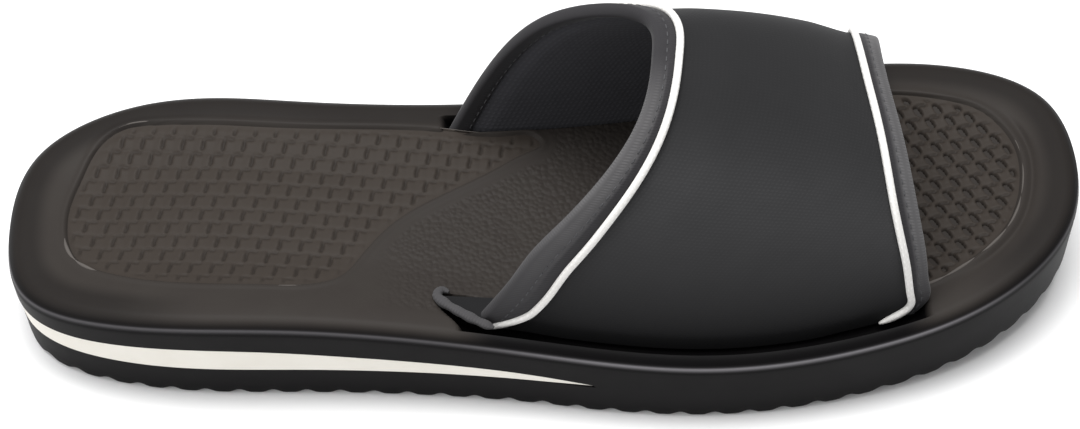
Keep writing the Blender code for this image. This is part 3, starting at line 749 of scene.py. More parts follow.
def border_distance(points, border):
    """Distance of points from a closed border, positive inside. Each point is set against every chord
    of the border, and the sign comes from how many chords a line towards +X crosses."""
    flat = points[..., :2].reshape(-1, 2)
    result = np.full(len(flat), -FAR)
    near = np.all((flat > border.min(axis=0) - FAR) & (flat < border.max(axis=0) + FAR), axis=1)
    start = border
    chord = np.roll(border, -1, axis=0) - start
    measured = []
    for some in np.array_split(flat[near], max(1, int(near.sum()) // 8000)):
        arm = some[:, None, :] - start
        way = np.clip((arm * chord).sum(-1) / (chord ** 2).sum(-1), 0, 1)
        gap = np.linalg.norm(arm - way[..., None] * chord, axis=-1).min(axis=1)
        spans = (arm[..., 1] >= 0) != (arm[..., 1] >= chord[:, 1])
        rise = np.where(chord[:, 1] == 0, 1, chord[:, 1])
        crossing = arm[..., 1] / rise * chord[:, 0] > arm[..., 0]
        inside = (spans & crossing).sum(axis=1) % 2 == 1
        measured.append(np.where(inside, gap, -gap))
    if measured:
        result[near] = np.concatenate(measured)
    return np.clip(result, -FAR, FAR).reshape(points.shape[:-1])


print("pads:", [[round(float(v), 3) for v in np.ptp(b, axis=0)] for b in (HEEL_BORDER, TOE_BORDER)])

# %% [markdown]
# The footbed is one moulding. Its wall is smooth, its rim rolls over in a quarter round, and each foot
# of the strap stands in a deep trough just inside the rim. The troughs are soft walls of the same height
# function, so the mesh needs closer rings only where they rise.

# %% Footbed
PAD_RECESS = 0.0014
LIP_HEIGHT = 0.0004
LIP_WIDTH = 0.0009
PAD_SLOPE = 0.0012
TOE_GROOVE_OUT = 0.0028
TOE_GROOVE_DEPTH = 0.0009
TOE_GROOVE_WIDTH = 0.0011
TOE_GROOVE_ALONG = (0.86, 0.91)
TOE_GROOVE_SIDE = (0.3, 0.6)
TROUGH_DEPTH = 0.0054
TROUGH_OUTER = {False: (0.0036, 0.0042), True: (0.0062, 0.0068)}
TROUGH_INNER = (0.0121, 0.0126)
TROUGH_END = 0.003
OUTER_TROUGH = (0.396, 0.838)
INNER_TROUGH = (0.405, 0.830)
POCKET_SPREAD = 0.0030
POCKET = (0.435, 0.475)
POCKET_BACK = 0.0125
TROUGH_SLANT = 0.0055
FOOTBED_STEPS = 12
FINE_INSETS = np.concatenate([np.arange(0.0034, 0.0076, 0.0002), np.arange(0.0080, 0.0116, 0.0008),
                              np.arange(0.0118, 0.0132, 0.0002)])
DISH_ROWS = 50
ROLL_ANGLES = np.concatenate([np.arange(6, 20, 4), np.arange(20, 35, 1.5), np.arange(38, 88, 6)])
BEAD_AT = np.radians(27)
BEAD_HEIGHT = 0.00030
BEAD_HALF = 0.00050
# How strongly the bead's gloss and painted highlight show: faint at the heel, full beside the strap, faint
# at the toe.
BEAD_GLOSS_AND_HIGHLIGHT_ALONG = {"heel": 0.45, "rise": (0.40, 0.55), "toe": 0.30, "fall": (0.82, 0.95)}
PEBBLE_INSET = (0.008, 0.011)
PEBBLE_ALONG = ((0.33, 0.38), (0.78, 0.82))
PEBBLE_CLEAR = {"heel": (0.003, 0.005), "toe": (0.002, 0.004)}
# The next six numbers place the footbed's painted shade, and the painted light kept on the rim band's outer
# side.
TOP_INSET = (0.0004, 0.0030)
SHELF_SHADE_ALONG = ((0.405, 0.450), (0.81, 0.85))
NEAR_SIDE_LIGHT_ALONG = ((0.10, 0.20), (0.86, 0.94))
BAND_INSET = (0.0070, 0.0120)
BAND_SHADE = 0.5
TROUGH_SHADE_DEPTH = 0.002


def trough_depth(points):
    """Depth of the two troughs: soft walls across, between two insets, and soft ends along. The outer
    one's rear end runs slantwise and widens inwards, into a pocket under the strap's corner."""
    reach, own = reach_of(points)
    inset = reach - own
    x = points[..., 0]
    inner = points[..., 1] > centre_of(x)[..., 1]
    start = np.where(inner, *(smooth_step(*TROUGH_OUTER[side], inset) for side in (True, False)))
    spare = np.where(inner, 0, POCKET_SPREAD * (1 - smooth_step(*POCKET, x / LENGTH)))
    across = start * (1 - smooth_step(*TROUGH_INNER, inset - spare))
    near_rim = 1 - smooth_step(TROUGH_OUTER[False][1], POCKET_BACK, inset)
    slant = np.where(inner, 0, TROUGH_SLANT * near_rim)
    low = np.where(inner, INNER_TROUGH[0], OUTER_TROUGH[0]) * LENGTH + slant
    high = np.where(inner, INNER_TROUGH[1], OUTER_TROUGH[1]) * LENGTH
    along = smooth_step(0, TROUGH_END, x - low) * (1 - smooth_step(-TROUGH_END, 0, x - high))
    return TROUGH_DEPTH * across * along


def pad_relief(distance):
    """A slope down into the pad and a thin lip along its border."""
    lip = LIP_HEIGHT * np.exp(-((distance + LIP_WIDTH / 2) / LIP_WIDTH) ** 2)
    return lip - PAD_RECESS * smooth_step(0, PAD_SLOPE, distance)


def bead_share(points):
    """1 on the thin bead that runs round the rim's roll, by the angle at which the roll has turned."""
    reach, own = reach_of(points)
    turned = np.arccos(np.clip(1 - (reach - own) / RIM_ROUNDING, 0, 1))
    return np.exp(-((turned - BEAD_AT) * RIM_ROUNDING / BEAD_HALF) ** 2)


def footbed_surface(points):
    """The plain footbed with its pads, the groove round the toe pad's front, the bead and the troughs."""
    heel = border_distance(points, HEEL_BORDER)
    toe = border_distance(points, TOE_BORDER)
    groove = np.exp(-((toe + TOE_GROOVE_OUT) / TOE_GROOVE_WIDTH) ** 2)
    groove = groove * smooth_step(*TOE_GROOVE_ALONG, points[..., 0] / LENGTH)
    groove = groove * (1 - smooth_step(*TOE_GROOVE_SIDE, points[..., 1] / HALF_WIDTH))
    relief = pad_relief(heel) + pad_relief(toe) - TOE_GROOVE_DEPTH * groove
    relief = relief + BEAD_HEIGHT * bead_share(points)
    return footbed_height(points) + relief - trough_depth(points), heel, toe


def pebble_zone(points, heel, toe):
    """Where the leather grain shows: inside the rim band, in front of the heel pad, off both pads."""
    reach, own = reach_of(points)
    inside = smooth_step(*PEBBLE_INSET, reach - own)
    clear = smooth_step(*PEBBLE_CLEAR["heel"], -heel) * smooth_step(*PEBBLE_CLEAR["toe"], -toe)
    return inside * clear * between(*PEBBLE_ALONG, points[..., 0] / LENGTH)


def top_zone_and_painted_shade(points):
    """Where the greyer top colour shows. Elsewhere the darker colour is painted shade: on the wall, in the
    troughs, on the shelf between them and the rim, and at half strength on the rim's band, except along the
    outer side, where the band keeps the top colour as painted light."""
    reach, own = reach_of(points)
    inset = reach - own
    along = points[..., 0] / LENGTH
    free_of_trough_shade = 1 - smooth_step(0, TROUGH_SHADE_DEPTH, trough_depth(points))
    shelf_shade = between(*SHELF_SHADE_ALONG, along) * (1 - smooth_step(*TROUGH_INNER, inset))
    outer = points[..., 1] < centre_of(points[..., 0])[..., 1]
    near_side_light = np.where(outer, between(*NEAR_SIDE_LIGHT_ALONG, along), 0)
    band_shade = 1 - smooth_step(*BAND_INSET, inset)
    return smooth_step(*TOP_INSET, inset) * free_of_trough_shade * (1 - shelf_shade) * (1 - BAND_SHADE * band_shade * (1 - near_side_light))


def seat_height(x):
    """Underside of the footbed: on the wedge, and in front of it on the bottom layer."""
    on_wedge = x < WEDGE_FRONT * LENGTH
    return np.where(on_wedge, np.maximum(wedge_top(x), outsole_top(x)) + LAYER_GAP / 2, outsole_top(x))


def make_footbed():
    """Rings from the middle line below, out to the wall, over the rim and in to the middle line."""
    loop = station_loop(FOOTBED_STEPS)
    centres, edges, _ = loop
    seat = seat_height(edges[:, 0])
    top = RIM_HEIGHT * from_table(RIM, edges[:, 0] / LENGTH) - RIM_ROUNDING
    rings = [with_height(centres, seat_height(centres[:, 0]))]
    rings += [with_height(edges, seat + (top - seat) * way) for way in np.linspace(0, 1, 5)]
    rolls = RIM_ROUNDING * (1 - np.cos(np.radians(ROLL_ANGLES)))
    insets = [np.full(len(edges), inset) for inset in rolls if inset < FINE_INSETS[0]]
    insets += [np.full(len(edges), inset) for inset in FINE_INSETS]
    last = FINE_INSETS[-1]
    insets += [last + (arm_lengths(loop) - last) * way for way in np.linspace(0, 1, DISH_ROWS)[1:]]
    flat = np.vstack([inset_ring(loop, inset) for inset in insets])
    height, heel, toe = footbed_surface(flat)
    points = np.vstack(rings + [with_height(flat, height)])
    rows = len(points) // len(edges)
    mesh = make_mesh("footbed_moulded", points, grid_quads(rows, len(edges), wrap_columns=True))
    at = np.zeros(len(mesh.vertices) * 3)
    mesh.vertices.foreach_get("co", at)
    at = at.reshape(-1, 3) + (LENGTH / 2, 0, 0)
    flat = at[:, :2]
    upper = at[:, 2] > seat_height(flat[:, 0]) + 0.001
    heel, toe = (border_distance(flat, border) for border in (HEEL_BORDER, TOE_BORDER))
    add_layer(mesh, "pebble", pebble_zone(flat, heel, toe))
    # Painted shade: the top colour shows only where this layer is high, and the darker colour stands in for
    # shade elsewhere.
    add_layer(mesh, "top", top_zone_and_painted_shade(flat) * upper)
    along = flat[:, 0] / LENGTH
    # The bead's gloss and painted highlight are faint at the heel, full beside the strap, and fade at the
    # toe.
    gloss_and_highlight_along = BEAD_GLOSS_AND_HIGHLIGHT_ALONG["heel"] + (1 - BEAD_GLOSS_AND_HIGHLIGHT_ALONG["heel"]) * smooth_step(*BEAD_GLOSS_AND_HIGHLIGHT_ALONG["rise"], along)
    gloss_and_highlight_along = gloss_and_highlight_along - (1 - BEAD_GLOSS_AND_HIGHLIGHT_ALONG["toe"]) * smooth_step(*BEAD_GLOSS_AND_HIGHLIGHT_ALONG["fall"], along)
    add_layer(mesh, "bead_gloss_and_highlight", bead_share(flat) * gloss_and_highlight_along * upper)
    return mesh


add_piece("footbed_moulded", make_footbed(), footbed_foam, "footbed_foam", "footbed", sharp=60)

# %% [markdown]
# The pads' floors look woven. The mould has rows of low pillows like bricks in a wall. At each joint lies
# a short upright slot, and a shallow bar runs from its head along the row, so a joint looks like a bent
# stroke. The pattern is a pure function of the place: it is turned into rows, folded back into one
# brick, and read as a crown less a slot and a bar. It gets a mesh of its own, with half-millimetre faces,
# whose border is buried in the footbed's lip.

# %% Woven pads
CELL = 0.00045
PAD_SPARE = 0.0010
PAD_TOP = 0.00055
PAD_PLATE = 0.0024
WEAVE_EDGE = (0.0008, 0.0030)
# The last number of each weave is the painted shade of a full slot.
HEEL_WEAVE = {"pitch": 0.00563, "row": 0.00453, "turn": -6.5, "lean": 0.1, "crown": 0.00024,
              "slot": (0.00050, 0.00042, 0.0011), "bar": (0.00030, 0.00040, 0.0012), "lip": 0.00010,
              "painted_shade": 0.35}
TOE_WEAVE = {"pitch": 0.0054, "row": 0.0042, "turn": 2.0, "lean": -0.40, "crown": 0.00022,
             "slot": (0.00190, 0.00068, 0.0008), "bar": (0.00060, 0.00045, 0.0011), "lip": 0.00022,
             "painted_shade": 1.0}


def capsule_hole(x, y, size):
    """Depth of a slot with round ends about a place: full inside, and steep walls at its border."""
    depth, half_width, half_length = size
    away = np.hypot(x, np.clip(np.abs(y) - half_length, 0, None))
    return depth * (1 - smooth_step(half_width * 0.7, half_width * 1.5, away)), away


def weave_relief(points, centre, pitch, row, turn, lean, crown, slot, bar, lip, painted_shade):
    """Rows of pillows like bricks: each row is shifted by half a brick from the last. A leaning slot lies
    at each joint, with a raised lip over its head and a bar beside it. Also the painted shade of each
    point: its depth as a share of the slot, times the painted shade of a full slot."""
    arm = points[..., :2] - centre
    c = np.cos(np.radians(turn))
    s = np.sin(np.radians(turn))
    along = (arm[..., 0] * c + arm[..., 1] * s) / pitch
    across = (arm[..., 1] * c - arm[..., 0] * s) / row
    number = np.round(across)
    y = (across - number) * row
    u = along - number / 2
    x = (u - np.round(u)) * pitch
    hole, away = capsule_hole(x - lean * y, y, slot)
    stroke, _ = capsule_hole(y - row / 2 + bar[1], x - bar[2], bar)
    pillow = crown * (1 - (2 * y / row) ** 4) * (1 - 0.5 * np.abs(2 * x / pitch) ** 3)
    rise = lip * np.exp(-((away - 2.2 * slot[1]) / slot[1]) ** 2) * smooth_step(-0.0004, 0.0008, y)
    deep = np.maximum(hole, stroke)
    return pillow + rise - deep, painted_shade * deep / slot[0]


def make_pad(name, border, weave):
    """Closed plate over the cells of an even grid that lie inside the border or just outside it."""
    low = border.min(axis=0) - PAD_SPARE
    high = border.max(axis=0) + PAD_SPARE
    x = np.arange(low[0], high[0], CELL)
    y = np.arange(low[1], high[1], CELL)
    flat = np.stack(np.meshgrid(x, y, indexing="ij"), axis=-1)
    distance = border_distance(flat, border)
    inside = distance > -PAD_SPARE
    keep = inside[:-1, :-1] & inside[1:, :-1] & inside[:-1, 1:] & inside[1:, 1:]
    plain = footbed_height(flat)
    fade = smooth_step(*WEAVE_EDGE, distance)
    relief, deep = weave_relief(flat, border.mean(axis=0), **weave)
    top = plain - PAD_TOP + relief * fade
    bottom = plain - PAD_PLATE - PAD_TOP
    number = np.arange(top.size).reshape(top.shape)
    quads = np.stack([number[:-1, :-1], number[1:, :-1], number[1:, 1:], number[:-1, 1:]], axis=-1)[keep]
    under = quads[:, ::-1] + top.size
    rolled = np.stack([quads, np.roll(quads, -1, axis=1)], axis=-1).reshape(-1, 2)
    forward = rolled[:, 0] * top.size + rolled[:, 1]
    backward = rolled[:, 1] * top.size + rolled[:, 0]
    rim = rolled[~np.isin(forward, backward)]
    walls = np.column_stack([rim[:, 1], rim[:, 0], rim[:, 0] + top.size, rim[:, 1] + top.size])
    faces = np.vstack([quads, under, walls])
    points = np.concatenate([np.dstack([flat, height]).reshape(-1, 3) for height in (top, bottom)])
    used, faces = np.unique(faces, return_inverse=True)
    mesh = make_mesh(name, points[used], faces.reshape(-1, 4))
    # Painted shade: the slots take the pad foam's darker colour, by their depth.
    lit = np.concatenate([1 - (deep * fade).ravel(), np.ones(top.size)])
    add_layer(mesh, "top", lit[used])
    return mesh


for name, border, weave in (("heel_pad_woven", HEEL_BORDER, HEEL_WEAVE),
                            ("toe_pad_woven", TOE_BORDER, TOE_WEAVE)):
    add_piece(name, make_pad(name, border, weave), pad_foam, "footbed_foam")

# %% [markdown]
# Several pieces are long and round: the pads' lips, the cords and the rolled end of the tape. All are
# one form, a circle carried along a path, so one function makes them.

# %% Tube along a path
def on_footbed(flat, lift):
    """Places of the plan, put at a lift over the plain footbed."""
    return np.column_stack([flat, footbed_height(flat) + lift])


def unit(vectors):
    """The same directions, each of length one."""
    return vectors / np.linalg.norm(vectors, axis=-1, keepdims=True)


def tube(name, path, across, above, radius, around, length=None):
    """Rings round a path: each is its point plus a circle in the plane of two directions. The tube is a
    ring itself, or, where its length is given for a cloth, has a face on each end."""
    angle = np.linspace(0, 2 * np.pi, around, endpoint=False)
    circle = np.cos(angle)[:, None] * across[:, None] + np.sin(angle)[:, None] * above[:, None]
    points = (path[:, None] + radius[:, None, None] * circle).reshape(-1, 3)
    faces = [tuple(f) for f in grid_quads(len(path), around, length is None, True)]
    if length is None:
        return make_mesh(name, points, faces)
    faces += [tuple(range(around)), tuple(range((len(path) - 1) * around, len(path) * around))]
    uv = np.dstack(np.meshgrid(length, angle * radius.max(), indexing="ij")).reshape(-1, 2)
    return make_mesh(name, points, faces, uv)


# %% [markdown]
# A thin lip stands along each pad's border. Its pale colour is a painted highlight. It is thickest round
# the heel pad's outer corner, at two more places of the heel pad, and along the front of the toe pad. Its
# radius is the highest of a few bell curves along the border, and an eighth of a millimetre where the lip
# is low.

# %% Pale lips of the pads, a painted highlight
LIP_STEPS = 480
LIP_AROUND = 8
LIP_LOW = 0.00012
LIP_OUT = 0.0003
HEEL_LIPS = (
    # along, side, radius in millimetres, reach in millimetres
    (0.060, -0.09, 0.58, 4.5), (0.078, -0.20, 0.58, 4.0), (0.265, -0.43, 0.28, 7.0),
    (0.115, 0.70, 0.30, 6.0), (0.492, 0.47, 0.22, 6.0),
)
TOE_LIPS = (
    # along, side, radius in millimetres, reach in millimetres
    (0.843, -0.56, 0.52, 5.0), (0.870, -0.48, 0.52, 6.0), (0.905, -0.32, 0.48, 6.0),
    (0.930, -0.16, 0.42, 7.0), (0.945, 0.06, 0.34, 7.0), (0.945, 0.30, 0.22, 6.0), (0.850, 0.74, 0.26, 8.0),
)


def make_lip(name, table, spots):
    """Closed tube along a pad's border, thick near the given spots."""
    border = closed_curve(np.array(table) * (LENGTH, HALF_WIDTH), LIP_STEPS)
    ahead = unit(np.roll(border, -1, axis=0) - np.roll(border, 1, axis=0))
    across = np.column_stack([ahead[:, 1], -ahead[:, 0]])
    if border_distance(border[:1] + across[:1] * MM, border)[0] > 0:
        across = -across
    radius = np.full(len(border), LIP_LOW)
    for along, side, high, reach in spots:
        away = np.linalg.norm(border - (along * LENGTH, side * HALF_WIDTH), axis=1)
        radius = np.maximum(radius, high * MM * np.exp(-(away / (reach * MM)) ** 2))
    flat = border + across * LIP_OUT
    path = on_footbed(flat, LIP_LOW)
    wide = np.column_stack([across, np.zeros(len(across))])
    return tube(name, path, wide, np.tile((0.0, 0.0, 1.0), (len(path), 1)), radius, LIP_AROUND)


for name, table, spots in (("heel_pad_lip", HEEL_PAD, HEEL_LIPS), ("toe_pad_lip", TOE_PAD, TOE_LIPS)):
    add_piece(name, make_lip(name, table, spots), pale_lip_highlight_foam, "footbed_foam")

# %% [markdown]
# The strap is one arched sheet. Each cross-section is a superellipse, squarer than a circle and rounder
# than a box, between two feet in the sole. Its back and front edges and its top line are three
# short tables, so a point of the strap is a function of two numbers: how far round, and how far forward.

# %% Strap surface
STRAP_TOP = 0.0885
STRAP_WALL = 0.0030
STRAP_SQUARENESS = 2.5
APEX_SHIFT = 0.0030
FOOT_INSETS = {False: 0.0088, True: 0.0085}
SLOT_DEPTH = 0.0040
STRAP_BACK = (
    # round, along
    (0.0, 0.433), (0.05, 0.453), (0.085, 0.467), (0.131, 0.485), (0.18, 0.511), (0.25, 0.547),
    (0.32, 0.574), (0.50, 0.599), (0.605, 0.597), (0.66, 0.581), (0.70, 0.559), (0.76, 0.516),
    (0.84, 0.473), (1.0, 0.415),
)
STRAP_FRONT = (
    # round, along
    (0.0, 0.818), (0.04, 0.8335), (0.088, 0.8325), (0.14, 0.829), (0.203, 0.8245), (0.283, 0.818),
    (0.39, 0.812), (0.61, 0.806), (0.80, 0.814), (1.0, 0.812),
)
STRAP_CREST = (
    # along, height
    (0.40, 1.09), (0.524, 1.05), (0.594, 1.0), (0.680, 0.925), (0.733, 0.850), (0.785, 0.752),
    (0.826, 0.672),
)


def strap_surface(turn, width):
    """Outer face of the strap. turn: share of the half turn over the foot, from its outer side; width:
    0 at the back edge, 1 at the front edge. The section is a superellipse in polar form."""
    turn = np.asarray(turn, float)
    width = np.asarray(width, float)
    back = from_table(STRAP_BACK, turn)
    front = from_table(STRAP_FRONT, turn)
    x = (back + (front - back) * width) * LENGTH
    outer_foot = side_at(x, False) + FOOT_INSETS[False]
    inner_foot = side_at(x, True) - FOOT_INSETS[True]
    outer_floor = footbed_height(np.stack([x, outer_foot], axis=-1))
    inner_floor = footbed_height(np.stack([x, inner_foot], axis=-1))
    foot = outer_floor + (inner_floor - outer_floor) * turn - SLOT_DEPTH
    rise = STRAP_TOP * from_table(STRAP_CREST, x / LENGTH) - foot
    c = np.cos(turn * np.pi)
    s = np.sin(turn * np.pi)
    polar = (np.abs(c) ** STRAP_SQUARENESS + np.abs(s) ** STRAP_SQUARENESS) ** (-1 / STRAP_SQUARENESS)
    y = (outer_foot + inner_foot) / 2 - (inner_foot - outer_foot) / 2 * c * polar + APEX_SHIFT * s ** 2
    return np.stack([x, y, foot + rise * s * polar], axis=-1)


def strap_frame(turn, width, step=1e-4):
    """Point and outward normal of the strap, and how many metres one width is, square to its edge."""
    turn = np.clip(np.asarray(turn, float), step, 1 - step)
    point = strap_surface(turn, width)
    over = strap_surface(turn + step, width) - strap_surface(turn - step, width)
    along = (strap_surface(turn, width + step) - strap_surface(turn, width - step)) / (2 * step)
    return point, unit(np.cross(along, over)), np.linalg.norm(np.cross(along, unit(over)), axis=-1)


def edge_offset(turn, front, inward, lift):
    """Point at a distance inward from the strap's edge, square to it, and a lift off its outer face."""
    edge = 1.0 if front else 0.0
    _, _, square = strap_frame(turn, edge)
    width = edge + (-inward if front else inward) / square
    point, normal, _ = strap_frame(turn, width)
    return point + normal * np.asarray(lift)[..., None]


crest = strap_surface(0.5, np.linspace(0, 1, 3))
print("strap crest, back to front:", np.round(crest[:, 2], 4).tolist())

# %% [markdown]
# The strap's wall is two layers: padded knit outside and lining inside. Padding swells between the
# seams, so the outer face stands half a millimetre higher away from its two sewn edges, and the wall
# is pressed thin at the edges themselves. Each layer is a closed shell between two lifts off one surface.

# %% Padded strap and its lining
STRAP_STEPS = (200, 64)
EDGE_WALL = 0.0018
PINCH = (0.0025, 0.0095)
PUFF_START = 0.0095
PUFF_REACH = 0.012
PUFF = 0.0005
LINING_SHARE = 0.63
LOW_SHADE = (0.02, 0.22)
CROWN_SHADE = 0.80
CROWN_LEVEL = (0.55, 0.98)


def wall_at(distance):
    """Thickness of the strap's wall at a distance from its edge."""
    return EDGE_WALL + (STRAP_WALL - EDGE_WALL) * smooth_step(*PINCH, distance)


def layer_uv(grid):
    """Metres along the rows and along the columns of a grid, for a cloth that follows the surface."""
    down = np.linalg.norm(np.diff(grid, axis=0, prepend=grid[:1]), axis=-1).cumsum(axis=0)
    across = np.linalg.norm(np.diff(grid, axis=1, prepend=grid[:, :1]), axis=-1).cumsum(axis=1)
    middle = grid.shape[1] // 2
    return np.dstack([np.broadcast_to(down[:, middle:middle + 1], across.shape), across])


def shell(name, upper, lower):
    """Closed shell between two grids of the same size, with a strip along each of the four borders."""
    rows, columns = upper.shape[:2]
    count = rows * columns
    top = grid_quads(rows, columns)
    number = np.arange(count).reshape(rows, columns)
    border = np.concatenate([number[0], number[1:, -1], number[-1, -2::-1], number[-2:0:-1, 0]])
    after = np.roll(border, -1)
    rim = np.column_stack([border, after, after + count, border + count])
    faces = np.vstack([top, top[:, ::-1] + count, rim])
    points = np.concatenate([upper.reshape(-1, 3), lower.reshape(-1, 3)])
    uv = np.concatenate([layer_uv(upper).reshape(-1, 2), layer_uv(lower).reshape(-1, 2)])
    return make_mesh(name, points, faces, uv)


def seam_distance(turn, width):
    """Metres from the nearer sewn edge, square to it."""
    _, _, square = strap_frame(turn, width)
    return np.minimum(width, 1 - width) * square


def low_shade(turn, low=LOW_SHADE[0], high=LOW_SHADE[1]):
    """Painted shade on the strap's flanks near the sole: 1 at the foot, 0 at a quarter of the way up."""
    return 1 - smooth_step(low, high, np.minimum(turn, 1 - turn))


def crown_shade(turn, width):
    """Painted shade on the crown: where the strap lies level, its top is drawn darker."""
    _, normal, _ = strap_frame(turn, width)
    return CROWN_SHADE * smooth_step(*CROWN_LEVEL, normal[..., 2])


def strap_layer(name, upper_share, lower_share, puff):
    """One layer of the strap between two shares of its wall; a puff swells the upper one."""
    turn, width = np.meshgrid(np.linspace(0, 1, STRAP_STEPS[0] + 1), np.linspace(0, 1, STRAP_STEPS[1] + 1),
                              indexing="ij")
    point, normal, _ = strap_frame(turn, width)
    distance = seam_distance(turn, width)
    wall = wall_at(distance)
    swell = puff * smooth_step(PUFF_START, PUFF_START + PUFF_REACH, distance)
    upper = point + normal * (swell - upper_share * wall)[..., None]
    lower = point - normal * (lower_share * wall)[..., None]
    return shell(name, upper, lower)


cloth_mesh = strap_layer("strap_padded", 0.0, LINING_SHARE, PUFF)
turn, width = np.meshgrid(*(np.linspace(0, 1, steps + 1) for steps in STRAP_STEPS), indexing="ij")
# Painted shade: the knit's darker colour is mixed in near the feet and on the level crown.
shade = np.maximum(low_shade(turn), crown_shade(turn, width)).ravel()
add_layer(cloth_mesh, "shade", np.tile(shade, 2))
add_piece("strap_padded", cloth_mesh, strap_knit, "strap_cloth", "upper_strap", sharp=60)
lining_mesh = strap_layer("strap_lining", LINING_SHARE + 0.02, 1.0, 0.0)
add_piece("strap_lining", lining_mesh, strap_lining, "strap_cloth", sharp=60)

# %% [markdown]
# The tape is folded over each edge of the strap and sewn through. In section it is a soft U: an outer leg,
# a round fold and a shorter inner leg. The section is carried along the edge, square to it. The outer leg
# widens towards the back foot and narrows towards the front one, and each stitch pulls it in a little.
# Between its stitches and the cord it is drawn darker, a painted shade that leaves the fold looking lit.
# Painted shade also darkens the inner leg, the inner half of the fold, the tape near the feet and the far
# part of the back tape.

# %% Edge tapes
TAPE_WIDTH = 0.0060
BACK_TAPE = (
    # round, width
    (0.0, 1.08), (0.039, 1.27), (0.085, 1.35), (0.133, 1.29), (0.182, 1.08), (0.223, 0.94), (0.266, 0.84),
    (0.316, 0.75), (0.50, 0.72), (0.75, 0.90), (1.0, 1.10),
)
FRONT_TAPE = (
    # round, width
    (0.0, 0.16), (0.022, 0.32), (0.045, 0.56), (0.085, 0.64), (0.144, 0.69), (0.206, 0.82), (0.253, 0.92),
    (0.313, 0.99), (0.50, 0.98), (0.75, 0.90), (1.0, 0.60),
)
TAPE_LIFT = 0.0009
FOLD_OUT = 0.0012
INNER_LEG = 0.6
STITCH_SHARE = 0.5
STITCH_PITCH = 0.0028
STITCH_PULL = 0.00012
# Painted shade on the tape: near the feet, on the far part of the back tape, and on the inner leg and the
# inner half of the fold.
BACK_SHADE = (0.02, 0.27)
BACK_FAR_SHADE = (0.34, 0.50)
FOOT_SHADE = 0.9
INNER_SHADE = 0.8
STITCH_WIDTH = 0.12
TRIM_SINK = 0.0030
TRIM_STEPS = 420
LEG_POINTS = 11
FOLD_POINTS = 13


def tape_width(turn, front):
    """Width of the tape's outer leg at places round the strap."""
    return TAPE_WIDTH * from_table(FRONT_TAPE if front else BACK_TAPE, turn)


def trim_turns(front, steps=TRIM_STEPS):
    """Turns at equal steps along one edge, between the two places where it dives into the troughs."""
    edge = 1.0 if front else 0.0
    fine = np.linspace(0, 1, 2001)
    point, _, _ = strap_frame(fine, edge)
    shown = point[:, 2] > footbed_height(point[:, :2]) - TRIM_SINK
    length = np.concatenate([[0], np.linalg.norm(np.diff(point, axis=0), axis=1).cumsum()])
    low, high = length[shown][[0, -1]]
    at = np.linspace(low, high, steps)
    return np.interp(at, length, fine), at - low


def leg_height(share):
    """Lift of a leg at a share of its width: full at the fold, and half at its border."""
    return TAPE_LIFT * (0.5 + 0.5 * np.cos(np.pi / 2 * share ** 2))


def make_tape(name, front):
    """The U carried along the edge, with dimples at the stitches, and a face on each end. Round the U
    go the outer leg, the fold, the inner leg, and the way back along the cloth."""
    turns, length = trim_turns(front)
    outer = tape_width(turns, front)
    dimple = STITCH_PULL * (0.5 + 0.5 * np.cos(2 * np.pi * length / STITCH_PITCH))
    leg = np.linspace(1, 0, LEG_POINTS)
    half = EDGE_WALL / 2
    profile = []
    for share in leg:
        pull = dimple * np.exp(-((share - STITCH_SHARE) / STITCH_WIDTH) ** 2)
        # Painted shade between the stitches and the cord, so that the fold looks lit.
        painted_shade = smooth_step(STITCH_SHARE, STITCH_SHARE + 0.2, share)
        profile.append((outer * share, leg_height(share) - pull, painted_shade))
    for angle in np.linspace(np.pi / 2, -np.pi / 2, FOLD_POINTS + 2)[1:-1]:
        # Painted shade on the inner half of the fold.
        painted_shade = INNER_SHADE * smooth_step(0.2, -0.6, np.sin(angle))
        profile.append((-FOLD_OUT * np.cos(angle), -half + (half + TAPE_LIFT) * np.sin(angle), painted_shade))
    for share in leg[::-1]:
        inward = INNER_LEG * outer * share
        profile.append((inward, -wall_at(inward) - leg_height(share), INNER_SHADE))
    inward = INNER_LEG * outer
    profile += [(inward, -wall_at(inward) + 0.0002, 0.0), (0.0, -EDGE_WALL, 0.0), (0.0, 0.0, 0.0),
                (outer, -0.0002, 0.0)]
    points = np.stack([edge_offset(turns, front, inward, lift) for inward, lift, _ in profile], axis=1)
    count = len(profile)
    faces = [tuple(f) for f in grid_quads(len(turns), count, wrap_columns=True)]
    faces.append(tuple(range(count)))
    faces.append(tuple(range((len(turns) - 1) * count, len(turns) * count)))
    middle = points[len(turns) // 2]
    girth = np.linalg.norm(np.diff(middle, axis=0, prepend=middle[:1]), axis=1).cumsum()
    uv = np.dstack(np.meshgrid(length, girth, indexing="ij")).reshape(-1, 2)
    mesh = make_mesh(name, points.reshape(-1, 3), faces, uv)
    painted_shade = np.array([painted_shade for _, _, painted_shade in profile])
    # Painted shade on the far part of the back tape and near the feet.
    spare = 0 if front else smooth_step(*BACK_FAR_SHADE, turns)
    low = FOOT_SHADE * (low_shade(turns) if front else low_shade(turns, *BACK_SHADE))
    add_layer(mesh, "shade", np.maximum(painted_shade, np.maximum(low, spare)[:, None]).ravel())
    return mesh


SEAMS = (("back", False), ("front", True))
for side, front in SEAMS:
    name = "tape_" + side
    add_piece(name, make_tape(name, front), edge_tape, "binding_tape", "binding_" + side, sharp=60)

# %% [markdown]
# The piping is a thin cord in a white cover, held in the seam beside the tape. It is a circle carried
# along the seam: each ring of the tube is the seam point plus the circle's two arms, one off the face
# and one across the seam.

# %% White piping
PIPING_RADIUS = 0.0010
PIPING_SINK = 0.1
PIPING_AROUND = 12
CURL = {False: (-0.0062, 0.0105), True: (0.0036, 0.0052)}
PIPING_TAPER = 0.0022
TAPER_DEPTH = 0.9


